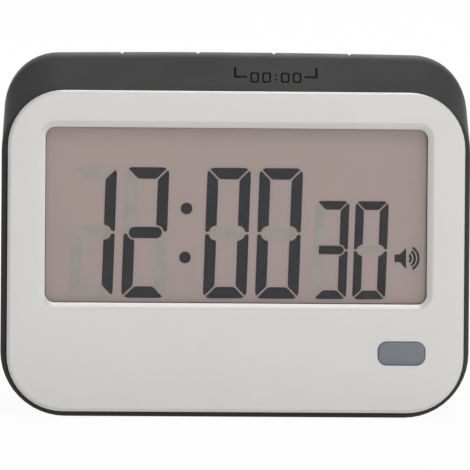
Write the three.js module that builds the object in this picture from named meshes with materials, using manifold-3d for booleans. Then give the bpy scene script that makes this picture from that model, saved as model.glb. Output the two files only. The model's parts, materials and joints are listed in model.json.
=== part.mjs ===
// A digital kitchen timer: a leaning slab with a light face plate, a dark housing that rises above it
// as a shoulder, three keys along the crest, one key on the face, and a battery bay at the back.
// Millimetres. Inside the leaning group X is right, Y is depth behind the face and Z runs up the face,
// and the middle of the face plate's front is the zero point.
import * as THREE from 'three';
import { mergeVertices } from 'three/addons/utils/BufferGeometryUtils.js';
import Module from 'manifold-3d';

// Fits: the gap between pieces that plug together, and between pieces that rest on each other.
const FIT = 0.3;
const SEAT = 0.15;

// Face plate, called the bezel: a rounded plate with a skirt that plugs into the housing. It is as large
// as the window with these margins around it.
const LEAN = 8;
const MARGIN_SIDE = 7.3;
const MARGIN_TOP = 7.225;
const MARGIN_FOOT = 21.425;
const BEZEL_CORNER = 11.1;
const BEZEL_ROUND = 0.9;
const BEZEL_PLATE = 1.6;
const BEZEL_PROUD = 2.8;
const SKIRT_INSET = 1.2;
const SKIRT_WALL = 1.4;
const SKIRT_DEPTH = 6.5;
const TONGUE_PLACE = 22;
const TONGUE_WIDTH = 9;
const TONGUE_REACH = 1.8;
const TONGUE_THICKNESS = 1.1;

// Window opening with its rounded lip, and the clear lens behind it.
const WINDOW_WIDTH = 75.4;
const WINDOW_HEIGHT = 34.5;
const WINDOW_CORNER = 1.9;
const WINDOW_LIP = 1.15;
const LENS_RECESS = 0.95;
const LENS_THICKNESS = 0.7;
const LENS_MARGIN = 1.4;

// Display: two sheets of glass and a reflector in a moulded holder, with a ledge for the contacts.
const GLASS_THICKNESS = 1.1;
const GLASS_MARGIN = 1.2;
const GLASS_LEDGE = 3;
const REFLECTOR_THICKNESS = 0.3;
const HOLDER_WALL = 1.2;
const HOLDER_CORNER = 3;
const HOLDER_LEDGE = 2.4;
const ZEBRA_END = 6.7;
const ZEBRA_THICKNESS = 1.8;

// Circuit board behind the display, the parts that it carries, and the room behind it up to the bay.
const BOARD_DEPTH = 7.6;
const BOARD_THICKNESS = 1.6;
const BOARD_ROOM = 3.8;
const BOARD_SIDE = 4;
const TAB_MARGIN = 1.375;
const BOARD_SCREW_PLACE = 15;
const PIN_SIDE = 15;
const PIN_RADIUS = 0.7;
const POST_RADIUS = 2;
const BLOB_RADIUS = 6;
const BLOB_HEIGHT = 1.6;
const CHIP_PLACE = 8;
const CHIP_DROP = 2;
const CRYSTAL_RADIUS = 1;
const CRYSTAL_LENGTH = 6;
const SWITCH_SIDE = 6;
const SWITCH_DEPTH = 4.5;
const SWITCH_HEIGHT = 3.8;
const PLUNGER_RADIUS = 1.5;
const PLUNGER_SHOWS = 1.3;

// Oval key on the face.
const START_WIDTH = 9;
const START_HEIGHT = 4.3;
const START_CORNER = 1.6;
const START_SIDE = 12.3;
const START_RISE = 11.775;
const START_PROUD = 0.15;
const START_FLANGE = 0.5;
const START_TRAVEL = 0.6;

// Housing: rim around the bezel, sloping shoulder, rounded crest, top, back and a slanted foot.
const RIM_SIDE = 1.25;
const RIM_FOOT = 1.05;
const RIM_ROUND = 0.5;
const RIM_CORNER = 12.8;
const SHOULDER_START = 0.6;
const SHOULDER_ANGLE = 35;
const CREST_RISE = 7.5;
const CREST_ROUND = 2;
const CREST_CORNER = 10.4;
const CREST_CROWN = 0.25;
const CREST_NARROWS = 0.75;
const BACK_NARROWS = 1.5;
const BACK_FALLS = 1.2;
const BACK_ROUND = 1.8;
const HOUSING_WALL = 2;
const LIP_DEPTH = 2.4;

// Three keys in one slot along the crest.
const KEY_PITCH = 15.05;
const KEY_GAP = 0.55;
const KEY_SETBACK = 0.6;
const KEY_DEPTH = 10.5;
const KEY_CORNER = 0.9;
const KEY_HEIGHT = 4.1;
const KEY_WALL = 1.3;
const KEY_FLANGE = 1;
const KEY_TRAVEL = 0.8;
const STEM_RADIUS = 1.7;

// Battery bay for two slim cells, its contacts, springs and door.
const CELL_LENGTH = 44.5;
const CELL_RADIUS = 5.2;
const CELL_GAP = 0.7;
const NUB_RADIUS = 1.9;
const NUB_LENGTH = 1;
const BAY_RISE = 7.175;
const BAY_MARGIN = 0.7;
const BAY_WALL = 1.4;
const PLATE_THICKNESS = 0.4;
const PLATE_SIDE = 8;
const TAIL_WIDTH = 2.4;
const SPRING_LENGTH = 5.6;
const SPRING_BASE = 3.5;
const SPRING_TIP = 2.4;
const SPRING_WIRE = 0.3;
const SPRING_CURLS = 4;
const DOOR_THICKNESS = 1.6;
const DOOR_LEDGE = 1.3;
const DOOR_CORNER = 1.5;
const DOOR_TONGUE_PLACE = 17;
const DOOR_TONGUE_WIDTH = 6;
const DOOR_TONGUE_REACH = 1.2;
const LATCH_WIDTH = 10;
const LATCH_REACH = 1.6;

// Magnets, buzzer and volume slide in one row at the back, and the case screws.
const ROW_DROP = 14.575;
const MAGNET_RADIUS = 5;
const MAGNET_THICKNESS = 2.5;
const MAGNET_SIDE = 11;
const BUZZER_RADIUS = 10;
const BUZZER_PLACE = 13.5;
const BUZZER_DISC = 0.5;
const CERAMIC_RADIUS = 7;
const CERAMIC_THICKNESS = 0.3;
const SOUND_HOLE = 0.8;
const SOUND_RING = 3.6;
const SLIDE_PLACE = 13.5;
const SLIDE_TRAVEL = 2;
const SLIDE_KNOB_WIDTH = 4.6;
const SLIDE_KNOB_HEIGHT = 3.2;
const SLIDE_POCKET = 1.8;
const SLIDE_FLOOR = 1.4;
const SLIDE_SWITCH_WIDTH = 9;
const SLIDE_SWITCH_HEIGHT = 4.4;
const SLIDE_SWITCH_DEPTH = 3.5;
const LEVER_LENGTH = 2.4;
const LEVER_SIDE = 1.6;
const CASE_SCREW_SIDE = 11.2;
const CASE_SCREW_RISE = 6.575;
const CASE_SCREW_GRIP = 7;
const SCREW_RADIUS = 0.95;
const SCREW_HEAD = 1.75;
const SCREW_HEAD_DEPTH = 1.4;
const WIRE_RADIUS = 0.5;
const WIRE_RUN = 6;
const WIRE_TURN = 4;
const WIRE_FALL = 5;

// Steps of a quarter round, of the crown along the crest and of a full round.
const CORNER_STEPS = 8;
const CROWN_STEPS = 8;
const ROUND_SIDES = 20;

const wasm = await Module();
wasm.setup();

const rad = THREE.MathUtils.degToRad;
const quarter = Math.PI / 2;

// A closed three.js geometry as a solid that can be joined and cut.
function solid(geometry) {
  const bare = new THREE.BufferGeometry();
  bare.setAttribute('position', geometry.getAttribute('position').clone());
  if (geometry.index) bare.setIndex(geometry.index.clone());
  const merged = mergeVertices(bare, 1e-4);
  return new wasm.Manifold(new wasm.Mesh({
    numProp: 3,
    vertProperties: new Float32Array(merged.getAttribute('position').array),
    triVerts: new Uint32Array(merged.index.array),
  }));
}

function geometryOf(body) {
  const mesh = body.getMesh();
  const geometry = new THREE.BufferGeometry();
  geometry.setAttribute('position', new THREE.BufferAttribute(new Float32Array(mesh.vertProperties), 3));
  geometry.setIndex(new THREE.BufferAttribute(new Uint32Array(mesh.triVerts), 1));
  geometry.computeVertexNormals();
  return geometry;
}

const join = (first, ...others) => others.reduce((whole, piece) => whole.add(piece), first);
const cut = (first, ...others) => others.reduce((whole, piece) => whole.subtract(piece), first);
const common = (first, second) => first.intersect(second);

function box([x0, x1], [y0, y1], [z0, z1]) {
  const geometry = new THREE.BoxGeometry(x1 - x0, y1 - y0, z1 - z0);
  return solid(geometry.translate((x0 + x1) / 2, (y0 + y1) / 2, (z0 + z1) / 2));
}

// Round bars that run in depth, up the face and across it.
function barInDepth(radius, [y0, y1], x, z, sides = ROUND_SIDES) {
  const geometry = new THREE.CylinderGeometry(radius, radius, y1 - y0, sides);
  return solid(geometry.translate(x, (y0 + y1) / 2, z));
}

function barUp(radius, [z0, z1], x, y, sides = ROUND_SIDES) {
  const geometry = new THREE.CylinderGeometry(radius, radius, z1 - z0, sides).rotateX(quarter);
  return solid(geometry.translate(x, y, (z0 + z1) / 2));
}

function barAcross(radius, [x0, x1], y, z, sides = ROUND_SIDES) {
  const geometry = new THREE.CylinderGeometry(radius, radius, x1 - x0, sides).rotateZ(quarter);
  return solid(geometry.translate((x0 + x1) / 2, y, z));
}

function roundedShape(width, height, radius, x = 0, z = 0) {
  const shape = new THREE.Shape();
  const [right, top] = [x + width / 2 - radius, z + height / 2 - radius];
  const [left, low] = [x - width / 2 + radius, z - height / 2 + radius];
  shape.absarc(right, low, radius, -quarter, 0);
  shape.absarc(right, top, radius, 0, quarter);
  shape.absarc(left, top, radius, quarter, 2 * quarter);
  shape.absarc(left, low, radius, 2 * quarter, 3 * quarter);
  shape.closePath();
  return shape;
}

function polygon(corners) {
  return new THREE.Shape(corners.map(([x, y]) => new THREE.Vector2(x, y)));
}

// A front outline given a thickness in depth, and a plan outline given a height.
function plate(shape, [y0, y1], curveSegments = 4) {
  const options = { depth: y1 - y0, bevelEnabled: false, curveSegments };
  return solid(new THREE.ExtrudeGeometry(shape, options).rotateX(quarter).translate(0, y1, 0));
}

function slab(shape, [z0, z1], curveSegments = 3) {
  const options = { depth: z1 - z0, bevelEnabled: false, curveSegments };
  return solid(new THREE.ExtrudeGeometry(shape, options).translate(0, 0, z0));
}

// One closed cross-section of a loft: a rounded rectangle, whose top may be crowned.
function section(depth, half, low, top, lowCorner, topCorner, crown = 0) {
  const ring = [];
  const put = (x, z) => ring.push(new THREE.Vector3(x, depth, z));
  const corner = (x, z, radius, start) => {
    for (let step = 0; step <= CORNER_STEPS; step++) {
      const angle = start + (quarter * step) / CORNER_STEPS;
      put(x + radius * Math.cos(angle), z + radius * Math.sin(angle));
    }
  };
  corner(half - lowCorner, low + lowCorner, lowCorner, -quarter);
  corner(half - topCorner, top - topCorner, topCorner, 0);
  for (let step = 1; step < CROWN_STEPS; step++) {
    const along = 1 - (2 * step) / CROWN_STEPS;
    put((half - topCorner) * along, top + crown * (1 - along * along));
  }
  corner(topCorner - half, top - topCorner, topCorner, quarter);
  corner(lowCorner - half, low + lowCorner, lowCorner, 2 * quarter);
  return ring;
}

// The skin over a row of cross-sections, closed at both ends.
function loft(rings) {
  const count = rings[0].length;
  const index = [];
  for (let ring = 0; ring + 1 < rings.length; ring++) {
    for (let i = 0; i < count; i++) {
      const next = (i + 1) % count;
      const [a, b] = [ring * count + i, ring * count + next];
      index.push(a, a + count, b, b, a + count, b + count);
    }
  }
  const last = (rings.length - 1) * count;
  for (let i = 1; i + 1 < count; i++) {
    index.push(0, i, i + 1);
    index.push(last, last + i + 1, last + i);
  }
  const geometry = new THREE.BufferGeometry().setFromPoints(rings.flat());
  return solid(geometry.setIndex(index));
}

// A section that keeps a distance inside (or, negative, outside) the bezel's own outline.
function bezelSection(depth, inset) {
  const corner = BEZEL_CORNER - inset;
  return section(depth, bezelHalf - inset, inset - bezelTop, bezelTop - inset, corner, corner);
}

function windowSection(depth, outset) {
  const half = WINDOW_WIDTH / 2 + outset;
  const corner = WINDOW_CORNER + outset;
  return section(depth, half, windowLow - outset, windowTop + outset, corner, corner);
}

// Heights and depths that follow from the sizes.
const lean = rad(LEAN);
const bezelHalf = WINDOW_WIDTH / 2 + MARGIN_SIDE;
const bezelTop = (WINDOW_HEIGHT + MARGIN_TOP + MARGIN_FOOT) / 2;
const windowTop = bezelTop - MARGIN_TOP;
const windowLow = windowTop - WINDOW_HEIGHT;
const rimFront = BEZEL_PROUD;
const rimDepth = rimFront + RIM_ROUND;
const rimHalf = bezelHalf + RIM_SIDE;
const backHalf = rimHalf - BACK_NARROWS;
const openingInset = SKIRT_INSET - FIT;
const openingTop = bezelTop - openingInset;
const skirtTop = bezelTop - SKIRT_INSET;
const footHeight = (depth) => -bezelTop - RIM_FOOT + (depth - rimDepth) * Math.tan(lean);

const boardFront = BOARD_DEPTH;
const boardBack = BOARD_DEPTH + BOARD_THICKNESS;
const bayFront = boardBack + BOARD_ROOM + BAY_WALL;
const cellDepth = bayFront + FIT + CELL_RADIUS;
const doorInside = cellDepth + CELL_RADIUS + FIT;
const backDepth = doorInside + DOOR_THICKNESS;

const shoulder = rad(SHOULDER_ANGLE);
const shoulderLow = bezelTop + SHOULDER_START;
const crestTop = bezelTop + CREST_RISE;
const crestCentre = crestTop - CREST_ROUND;
const shoulderTop = crestCentre + CREST_ROUND * Math.sin(shoulder);
const shoulderEnd = rimDepth + (shoulderTop - shoulderLow) * Math.tan(shoulder);
const crestDepth = shoulderEnd + CREST_ROUND * Math.cos(shoulder);
const backTop = crestTop - BACK_FALLS;
const wallDepth = backDepth - HOUSING_WALL;

const lensBack = LENS_RECESS + LENS_THICKNESS;
const glassFront = lensBack + SEAT;
const glassMiddle = glassFront + GLASS_THICKNESS;
const rearGlassFront = glassMiddle + SEAT;
const rearGlassBack = rearGlassFront + GLASS_THICKNESS;
const reflectorFront = rearGlassBack + SEAT;
const reflectorBack = reflectorFront + REFLECTOR_THICKNESS;
const glassWidth = WINDOW_WIDTH + 2 * GLASS_MARGIN;
const glassTop = windowTop + GLASS_MARGIN;
const rearGlassLow = windowLow - GLASS_MARGIN;
const glassLow = rearGlassLow - GLASS_LEDGE;
const holderLow = glassLow - SEAT - HOLDER_WALL;
const holderTop = glassTop + SEAT + HOLDER_WALL;
const pinPlace = bezelHalf - PIN_SIDE;
const pinHeight = (holderTop + skirtTop - SKIRT_WALL) / 2;

const keyRowHalf = 1.5 * KEY_PITCH + KEY_GAP / 2;
const slotFront = crestDepth - KEY_SETBACK;
const slotBack = slotFront + KEY_DEPTH;
const keyFoot = crestTop - KEY_HEIGHT;
const keyRoof = backTop - KEY_WALL;
const switchTop = keyFoot - KEY_TRAVEL - FIT - 0.3;
const boardTop = switchTop;
const switchDepth = boardBack + SEAT + SWITCH_DEPTH / 2;
const plungerTop = switchTop + PLUNGER_SHOWS;

const startPlace = bezelHalf - START_SIDE;
const startHeight = START_RISE - bezelTop;
const startFlangeFront = BEZEL_PLATE + SEAT;
const startBack = startFlangeFront + 0.9;
const startSwitchFront = startBack + SEAT + START_TRAVEL + 0.2;

const bayLow = BAY_RISE - bezelTop;
const lowerCell = bayLow + BAY_MARGIN + CELL_RADIUS;
const upperCell = lowerCell + 2 * CELL_RADIUS + CELL_GAP;
const bayTop = upperCell + CELL_RADIUS + BAY_MARGIN;
const bayHalf = (CELL_LENGTH + SPRING_LENGTH + 2 * PLATE_THICKNESS + 5 * SEAT) / 2;
const plateInside = bayHalf - SEAT - PLATE_THICKNESS;
const cellPlus = plateInside - SEAT;
const cellMinus = cellPlus - CELL_LENGTH;
const doorLow = bayLow - DOOR_LEDGE;
const doorTop = bayTop + DOOR_LEDGE;
const doorHalf = bayHalf + DOOR_LEDGE;
const doorMiddle = (doorLow + doorTop) / 2;
const hingeDepth = backDepth - DOOR_THICKNESS / 2;
const hingeHeight = doorLow + DOOR_THICKNESS / 2;
const tailEnd = bayFront - BAY_WALL - 1.6;

const postEnd = boardBack + 1.8;
const headSeat = postEnd + FIT + CASE_SCREW_GRIP;
const caseScrewPlace = bezelHalf - CASE_SCREW_SIDE;
const caseScrewHeight = CASE_SCREW_RISE - bezelTop;
const magnetPlace = bezelHalf - MAGNET_SIDE;
const rowHeight = bezelTop - ROW_DROP;
const wellRadius = SCREW_HEAD + 0.25;
const holeRadius = SCREW_RADIUS + 0.2;

// The outer form of the housing as one solid, before it is hollowed.
function housingForm() {
  const rings = [];
  for (let step = 0; step <= 2; step++) {
    const angle = (quarter * step) / 2;
    const inset = RIM_ROUND * (1 - Math.sin(angle));
    const depth = rimFront + RIM_ROUND * (1 - Math.cos(angle));
    const corner = BEZEL_CORNER + RIM_SIDE - inset;
    rings.push(section(depth, rimHalf - inset, footHeight(depth) + inset, shoulderLow - inset,
      RIM_CORNER - inset, corner));
  }
  for (let step = 0; step <= 3; step++) {
    const angle = shoulder + ((quarter - shoulder) * step) / 3;
    const depth = crestDepth - CREST_ROUND * Math.cos(angle);
    const narrows = (CREST_NARROWS * (depth - rimDepth)) / (crestDepth - rimDepth);
    const top = crestCentre + CREST_ROUND * Math.sin(angle);
    rings.push(section(depth, rimHalf - narrows, footHeight(depth), top, RIM_CORNER, CREST_CORNER,
      CREST_CROWN));
  }
  for (let step = 0; step <= 3; step++) {
    const angle = (quarter * step) / 3;
    const inset = BACK_ROUND * (1 - Math.cos(angle));
    const depth = backDepth - BACK_ROUND * (1 - Math.sin(angle));
    rings.push(section(depth, backHalf - inset, footHeight(depth) + inset, backTop - inset,
      RIM_CORNER - inset, CREST_CORNER - inset, CREST_CROWN));
  }
  return loft(rings);
}

// The room inside: an opening for the bezel's skirt, then the shoulder's inner slope, top and back.
function housingRoom() {
  const behindLip = rimFront + LIP_DEPTH;
  const floor = (depth) => footHeight(depth) + HOUSING_WALL / Math.cos(lean);
  const lowCorner = RIM_CORNER - HOUSING_WALL;
  const topCorner = CREST_CORNER - HOUSING_WALL;
  const opening = loft([
    bezelSection(rimFront - 1, openingInset),
    bezelSection(SKIRT_DEPTH + FIT, openingInset),
  ]);
  const crestHalf = rimHalf - CREST_NARROWS - HOUSING_WALL;
  const room = loft([
    section(behindLip, rimHalf - HOUSING_WALL, floor(behindLip), openingTop, lowCorner, topCorner),
    section(shoulderEnd, crestHalf, floor(shoulderEnd), shoulderTop - HOUSING_WALL / Math.sin(shoulder),
      lowCorner, topCorner),
    section(crestDepth, crestHalf, floor(crestDepth), crestTop - HOUSING_WALL, lowCorner, topCorner),
    section(wallDepth, backHalf - HOUSING_WALL, floor(wallDepth), backTop - HOUSING_WALL, lowCorner,
      topCorner),
  ]);
  return join(opening, room);
}

const mirrored = (place, make) => [make(-place), make(place)];

// The door's outline, grown by a distance: rounded at the latch end and square at the hinge end.
function doorLeaf(grow, span) {
  const half = doorHalf + grow;
  const shape = roundedShape(2 * half, doorTop - doorLow + 2 * grow, DOOR_CORNER + grow, 0, doorMiddle);
  return join(plate(shape, span), box([-half, half], span, [doorLow - grow, doorMiddle]));
}

function rearHousing(form) {
  let shell = cut(form, housingRoom());
  const inward = backDepth - 0.3;
  const bayBlock = box([-bayHalf - BAY_WALL, bayHalf + BAY_WALL], [bayFront - BAY_WALL, inward],
    [bayLow - BAY_WALL, bayTop + BAY_WALL + LATCH_REACH]);
  const magnetPocket = backDepth - MAGNET_THICKNESS - 0.2 - SEAT;
  const magnetBosses = mirrored(magnetPlace, (x) =>
    barInDepth(MAGNET_RADIUS + 1.8, [magnetPocket - 1.4, inward], x, rowHeight));
  const screwBosses = mirrored(caseScrewPlace, (x) =>
    barInDepth(wellRadius + 0.8, [postEnd + FIT, inward], x, caseScrewHeight));
  const buzzerRing = cut(
    barInDepth(BUZZER_RADIUS + FIT + 1.2, [wallDepth - 2, inward], -BUZZER_PLACE, rowHeight, 28),
    barInDepth(BUZZER_RADIUS + FIT, [wallDepth - 3, wallDepth], -BUZZER_PLACE, rowHeight, 28));
  const slideFloor = backDepth - SLIDE_POCKET;
  const pocketHalf = SLIDE_KNOB_WIDTH / 2 + SLIDE_TRAVEL + 2;
  const pocketHeight = SLIDE_KNOB_HEIGHT / 2 + 1.6;
  const slideBlock = box([SLIDE_PLACE - pocketHalf - 1.2, SLIDE_PLACE + pocketHalf + 1.2],
    [slideFloor - SLIDE_FLOOR, inward], [rowHeight - pocketHeight - 1.2, rowHeight + pocketHeight + 1.2]);
  const added = [bayBlock, ...magnetBosses, ...screwBosses, buzzerRing, slideBlock];
  shell = join(shell, ...added.map((piece) => common(piece, form)));

  const beyond = backDepth + 1;
  const bay = box([-bayHalf, bayHalf], [bayFront, beyond], [bayLow, bayTop]);
  const rebate = doorLeaf(FIT, [doorInside - SEAT, beyond]);
  const tongueRoom = mirrored(DOOR_TONGUE_PLACE, (x) =>
    box([x - DOOR_TONGUE_WIDTH / 2 - FIT, x + DOOR_TONGUE_WIDTH / 2 + FIT],
      [hingeDepth - 4.3, doorInside - SEAT + 0.01], [doorLow - DOOR_TONGUE_REACH - 1, bayLow + 2]));
  const latchRoom = box([-LATCH_WIDTH / 2 - FIT, LATCH_WIDTH / 2 + FIT],
    [backDepth - 1.2 - FIT, beyond], [doorTop - 1, doorTop + LATCH_REACH + FIT]);
  const thumbNotch = barInDepth(LATCH_WIDTH / 2 + FIT, [backDepth - 1.1, beyond], 0,
    doorTop + LATCH_REACH, 28);
  const tailSlots = [upperCell, lowerCell].map((z) =>
    box([plateInside - FIT, bayHalf], [bayFront - BAY_WALL - 1, bayFront + 1],
      [z - TAIL_WIDTH / 2 - FIT, z + TAIL_WIDTH / 2 + FIT]));
  const magnetRooms = mirrored(magnetPlace, (x) =>
    barInDepth(MAGNET_RADIUS + SEAT, [magnetPocket, beyond], x, rowHeight, 28));
  const wells = mirrored(caseScrewPlace, (x) =>
    join(barInDepth(wellRadius, [headSeat, beyond], x, caseScrewHeight),
      barInDepth(holeRadius + 0.1, [postEnd, headSeat + 1], x, caseScrewHeight)));
  const soundHoles = [barInDepth(SOUND_HOLE, [wallDepth - 1, beyond], -BUZZER_PLACE, rowHeight, 10)];
  for (let i = 0; i < 6; i++) {
    const angle = (i * Math.PI) / 3;
    soundHoles.push(barInDepth(SOUND_HOLE, [wallDepth - 1, beyond],
      -BUZZER_PLACE + SOUND_RING * Math.cos(angle), rowHeight + SOUND_RING * Math.sin(angle), 10));
  }
  const slidePocket = plate(roundedShape(2 * pocketHalf, 2 * pocketHeight, 1.5, SLIDE_PLACE, rowHeight),
    [slideFloor, beyond]);
  const slideSlotHalf = SLIDE_KNOB_WIDTH / 2 + SLIDE_TRAVEL + FIT;
  const slideSlot = box([SLIDE_PLACE - slideSlotHalf, SLIDE_PLACE + slideSlotHalf],
    [slideFloor - 3, beyond],
    [rowHeight - SLIDE_KNOB_HEIGHT / 2 - FIT, rowHeight + SLIDE_KNOB_HEIGHT / 2 + FIT]);
  const keySlot = slab(roundedShape(2 * keyRowHalf, KEY_DEPTH, KEY_CORNER + FIT, 0,
    (slotFront + slotBack) / 2), [keyFoot - 1, crestTop + 2]);
  const tongueSlots = mirrored(TONGUE_PLACE, (x) =>
    box([x - TONGUE_WIDTH / 2 - FIT, x + TONGUE_WIDTH / 2 + FIT],
      [SKIRT_DEPTH - TONGUE_THICKNESS - FIT, SKIRT_DEPTH + 1],
      [openingTop - 1, skirtTop + TONGUE_REACH + FIT]));
  return cut(shell, bay, rebate, ...tongueRoom, latchRoom, thumbNotch, ...tailSlots, ...magnetRooms,
    ...wells, ...soundHoles, slidePocket, slideSlot, keySlot, ...tongueSlots);
}

function frontBezel() {
  const rings = [];
  for (let step = 0; step <= 3; step++) {
    const angle = (quarter * step) / 3;
    rings.push(bezelSection(BEZEL_ROUND * (1 - Math.cos(angle)), BEZEL_ROUND * (1 - Math.sin(angle))));
  }
  rings.push(bezelSection(rimFront - FIT, 0));
  const skirt = loft([bezelSection(1, SKIRT_INSET), bezelSection(SKIRT_DEPTH, SKIRT_INSET)]);
  const room = loft([
    bezelSection(BEZEL_PLATE, SKIRT_INSET + SKIRT_WALL),
    bezelSection(SKIRT_DEPTH + 1, SKIRT_INSET + SKIRT_WALL),
  ]);
  const lipDepth = LENS_RECESS - SEAT - 0.2;
  const lip = [windowSection(BEZEL_PLATE + 1, 0)];
  for (let step = 0; step <= 3; step++) {
    const angle = (quarter * step) / 3;
    lip.push(windowSection(lipDepth * (1 - Math.sin(angle)), WINDOW_LIP * (1 - Math.cos(angle))));
  }
  lip.push(windowSection(-1, WINDOW_LIP));
  const lensRoom = loft([windowSection(LENS_RECESS - SEAT, LENS_MARGIN + FIT),
    windowSection(BEZEL_PLATE + 1, LENS_MARGIN + FIT)]);
  const startHole = plate(roundedShape(START_WIDTH + FIT, START_HEIGHT + FIT, START_CORNER + FIT / 2,
    startPlace, startHeight), [-1, BEZEL_PLATE + 1]);
  const plateBack = BEZEL_PLATE - 0.3;
  const boardPosts = mirrored(BOARD_SCREW_PLACE, (x) =>
    barInDepth(POST_RADIUS, [plateBack, boardFront - SEAT], x, startHeight));
  const casePosts = mirrored(caseScrewPlace, (x) =>
    barInDepth(POST_RADIUS, [plateBack, postEnd], x, caseScrewHeight));
  const pins = mirrored(pinPlace, (x) =>
    barInDepth(PIN_RADIUS, [plateBack, boardBack + 0.6], x, pinHeight, 12));
  const tongues = mirrored(TONGUE_PLACE, (x) =>
    box([x - TONGUE_WIDTH / 2, x + TONGUE_WIDTH / 2], [SKIRT_DEPTH - TONGUE_THICKNESS, SKIRT_DEPTH],
      [skirtTop - SKIRT_WALL / 2, skirtTop + TONGUE_REACH]));
  const boardPilots = mirrored(BOARD_SCREW_PLACE, (x) =>
    barInDepth(holeRadius, [BEZEL_PLATE + 0.8, boardFront + 1], x, startHeight, 12));
  const casePilots = mirrored(caseScrewPlace, (x) =>
    barInDepth(holeRadius, [BEZEL_PLATE + 0.8, postEnd + 1], x, caseScrewHeight, 12));
  const frame = cut(join(loft(rings), skirt), room, loft(lip.reverse()), lensRoom, startHole);
  return cut(join(frame, ...boardPosts, ...casePosts, ...pins, ...tongues), ...boardPilots, ...casePilots);
}

function windowLens() {
  return loft([windowSection(LENS_RECESS, LENS_MARGIN), windowSection(lensBack, LENS_MARGIN)]);
}

const glassSpan = [-glassWidth / 2, glassWidth / 2];
const lcdFrontGlass = () => box(glassSpan, [glassFront, glassMiddle], [glassLow, glassTop]);
const lcdRearGlass = () => box(glassSpan, [rearGlassFront, rearGlassBack], [rearGlassLow, glassTop]);
const lcdReflector = () => box(glassSpan, [reflectorFront, reflectorBack], [rearGlassLow, glassTop]);

const zebraHalf = WINDOW_WIDTH / 2 - ZEBRA_END;
const zebraHeight = (glassLow + rearGlassLow) / 2;

function lcdHolder() {
  const half = glassWidth / 2 + SEAT;
  const back = boardFront - SEAT;
  const frame = plate(roundedShape(2 * (half + HOLDER_WALL), holderTop - holderLow, HOLDER_CORNER, 0,
    (holderLow + holderTop) / 2), [glassFront, back]);
  const glassRoom = box([-half, half], [glassFront - 1, reflectorBack + SEAT],
    [glassLow - SEAT, glassTop + SEAT]);
  const rear = box([-half + HOLDER_LEDGE, half - HOLDER_LEDGE], [glassFront, back + 1],
    [rearGlassLow + HOLDER_LEDGE, glassTop - HOLDER_LEDGE]);
  const zebraRoom = box([-zebraHalf - SEAT, zebraHalf + SEAT], [glassFront, back + 1],
    [zebraHeight - ZEBRA_THICKNESS / 2 - SEAT, zebraHeight + ZEBRA_THICKNESS / 2 + SEAT]);
  return cut(frame, glassRoom, rear, zebraRoom);
}

function zebraStrip() {
  return box([-zebraHalf, zebraHalf], [glassMiddle + SEAT, boardFront - SEAT],
    [zebraHeight - ZEBRA_THICKNESS / 2, zebraHeight + ZEBRA_THICKNESS / 2]);
}

// The board is a T: a wide part behind the display and a tab that carries the crest switches.
function mainBoard() {
  const half = bezelHalf - BOARD_SIDE;
  const tab = keyRowHalf + TAB_MARGIN;
  const low = footHeight(boardBack) + HOUSING_WALL + 1.2;
  const wideTop = skirtTop - SKIRT_WALL;
  const notchSide = caseScrewPlace - POST_RADIUS - 1;
  const notchTop = caseScrewHeight + POST_RADIUS + 0.4;
  const outline = polygon([[-notchSide, low], [notchSide, low], [notchSide, notchTop], [half, notchTop],
    [half, wideTop], [tab, wideTop], [tab, boardTop], [-tab, boardTop], [-tab, wideTop], [-half, wideTop],
    [-half, notchTop], [-notchSide, notchTop]]);
  const screwHoles = mirrored(BOARD_SCREW_PLACE, (x) =>
    barInDepth(holeRadius, [boardFront - 1, boardBack + 1], x, startHeight, 12));
  const pinHoles = mirrored(pinPlace, (x) =>
    barInDepth(PIN_RADIUS + SEAT, [boardFront - 1, boardBack + 1], x, pinHeight, 12));
  return cut(plate(outline, [boardFront, boardBack]), ...screwHoles, ...pinHoles);
}

function turned(profile, sides) {
  return new THREE.LatheGeometry(profile.map(([x, y]) => new THREE.Vector2(x, y)), sides);
}

// The sealing drop over the chip, as a low cap on the back of the board.
function chipBlob() {
  const profile = [[0, 0], [BLOB_RADIUS, 0]];
  for (let step = 1; step <= 4; step++) {
    const angle = (quarter * step) / 4;
    profile.push([BLOB_RADIUS * Math.cos(angle), BLOB_HEIGHT * Math.sin(angle)]);
  }
  profile[profile.length - 1][0] = 0;
  return solid(turned(profile, 16).translate(-CHIP_PLACE, boardBack + SEAT, -CHIP_DROP));
}

function quartzCrystal() {
  return barAcross(CRYSTAL_RADIUS, [CHIP_PLACE, CHIP_PLACE + CRYSTAL_LENGTH],
    boardBack + SEAT + CRYSTAL_RADIUS, -CHIP_DROP, 12);
}

// A self-tapping screw that points to the face, its head behind the given depth.
function screw(x, z, seat, length) {
  const profile = [[0, -length], [SCREW_RADIUS * 0.5, -length], [SCREW_RADIUS, -length + 1],
    [SCREW_RADIUS, 0], [SCREW_HEAD, 0], [SCREW_HEAD, SCREW_HEAD_DEPTH * 0.5],
    [SCREW_HEAD * 0.75, SCREW_HEAD_DEPTH], [0, SCREW_HEAD_DEPTH]];
  return solid(turned(profile, 16).translate(x, seat + SEAT, z));
}

const boardScrew = (x) => screw(x, startHeight, boardBack, boardBack - BEZEL_PLATE - 1.6);
const caseScrew = (x) => screw(x, caseScrewHeight, headSeat, headSeat - BEZEL_PLATE - 2.5);

// Push switches: a body on the board with a well, and the plunger that stands in it.
function crestSwitch(x) {
  const half = SWITCH_SIDE / 2;
  const front = boardBack + SEAT;
  const body = box([x - half, x + half], [front, front + SWITCH_DEPTH],
    [switchTop - SWITCH_HEIGHT, switchTop]);
  const well = barUp(PLUNGER_RADIUS + 0.2, [switchTop - KEY_TRAVEL - 1.4, switchTop + 1], x,
    switchDepth, 16);
  return cut(body, well);
}

const crestPlunger = (x) => barUp(PLUNGER_RADIUS, [switchTop - 1, plungerTop], x, switchDepth, 16);

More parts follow.
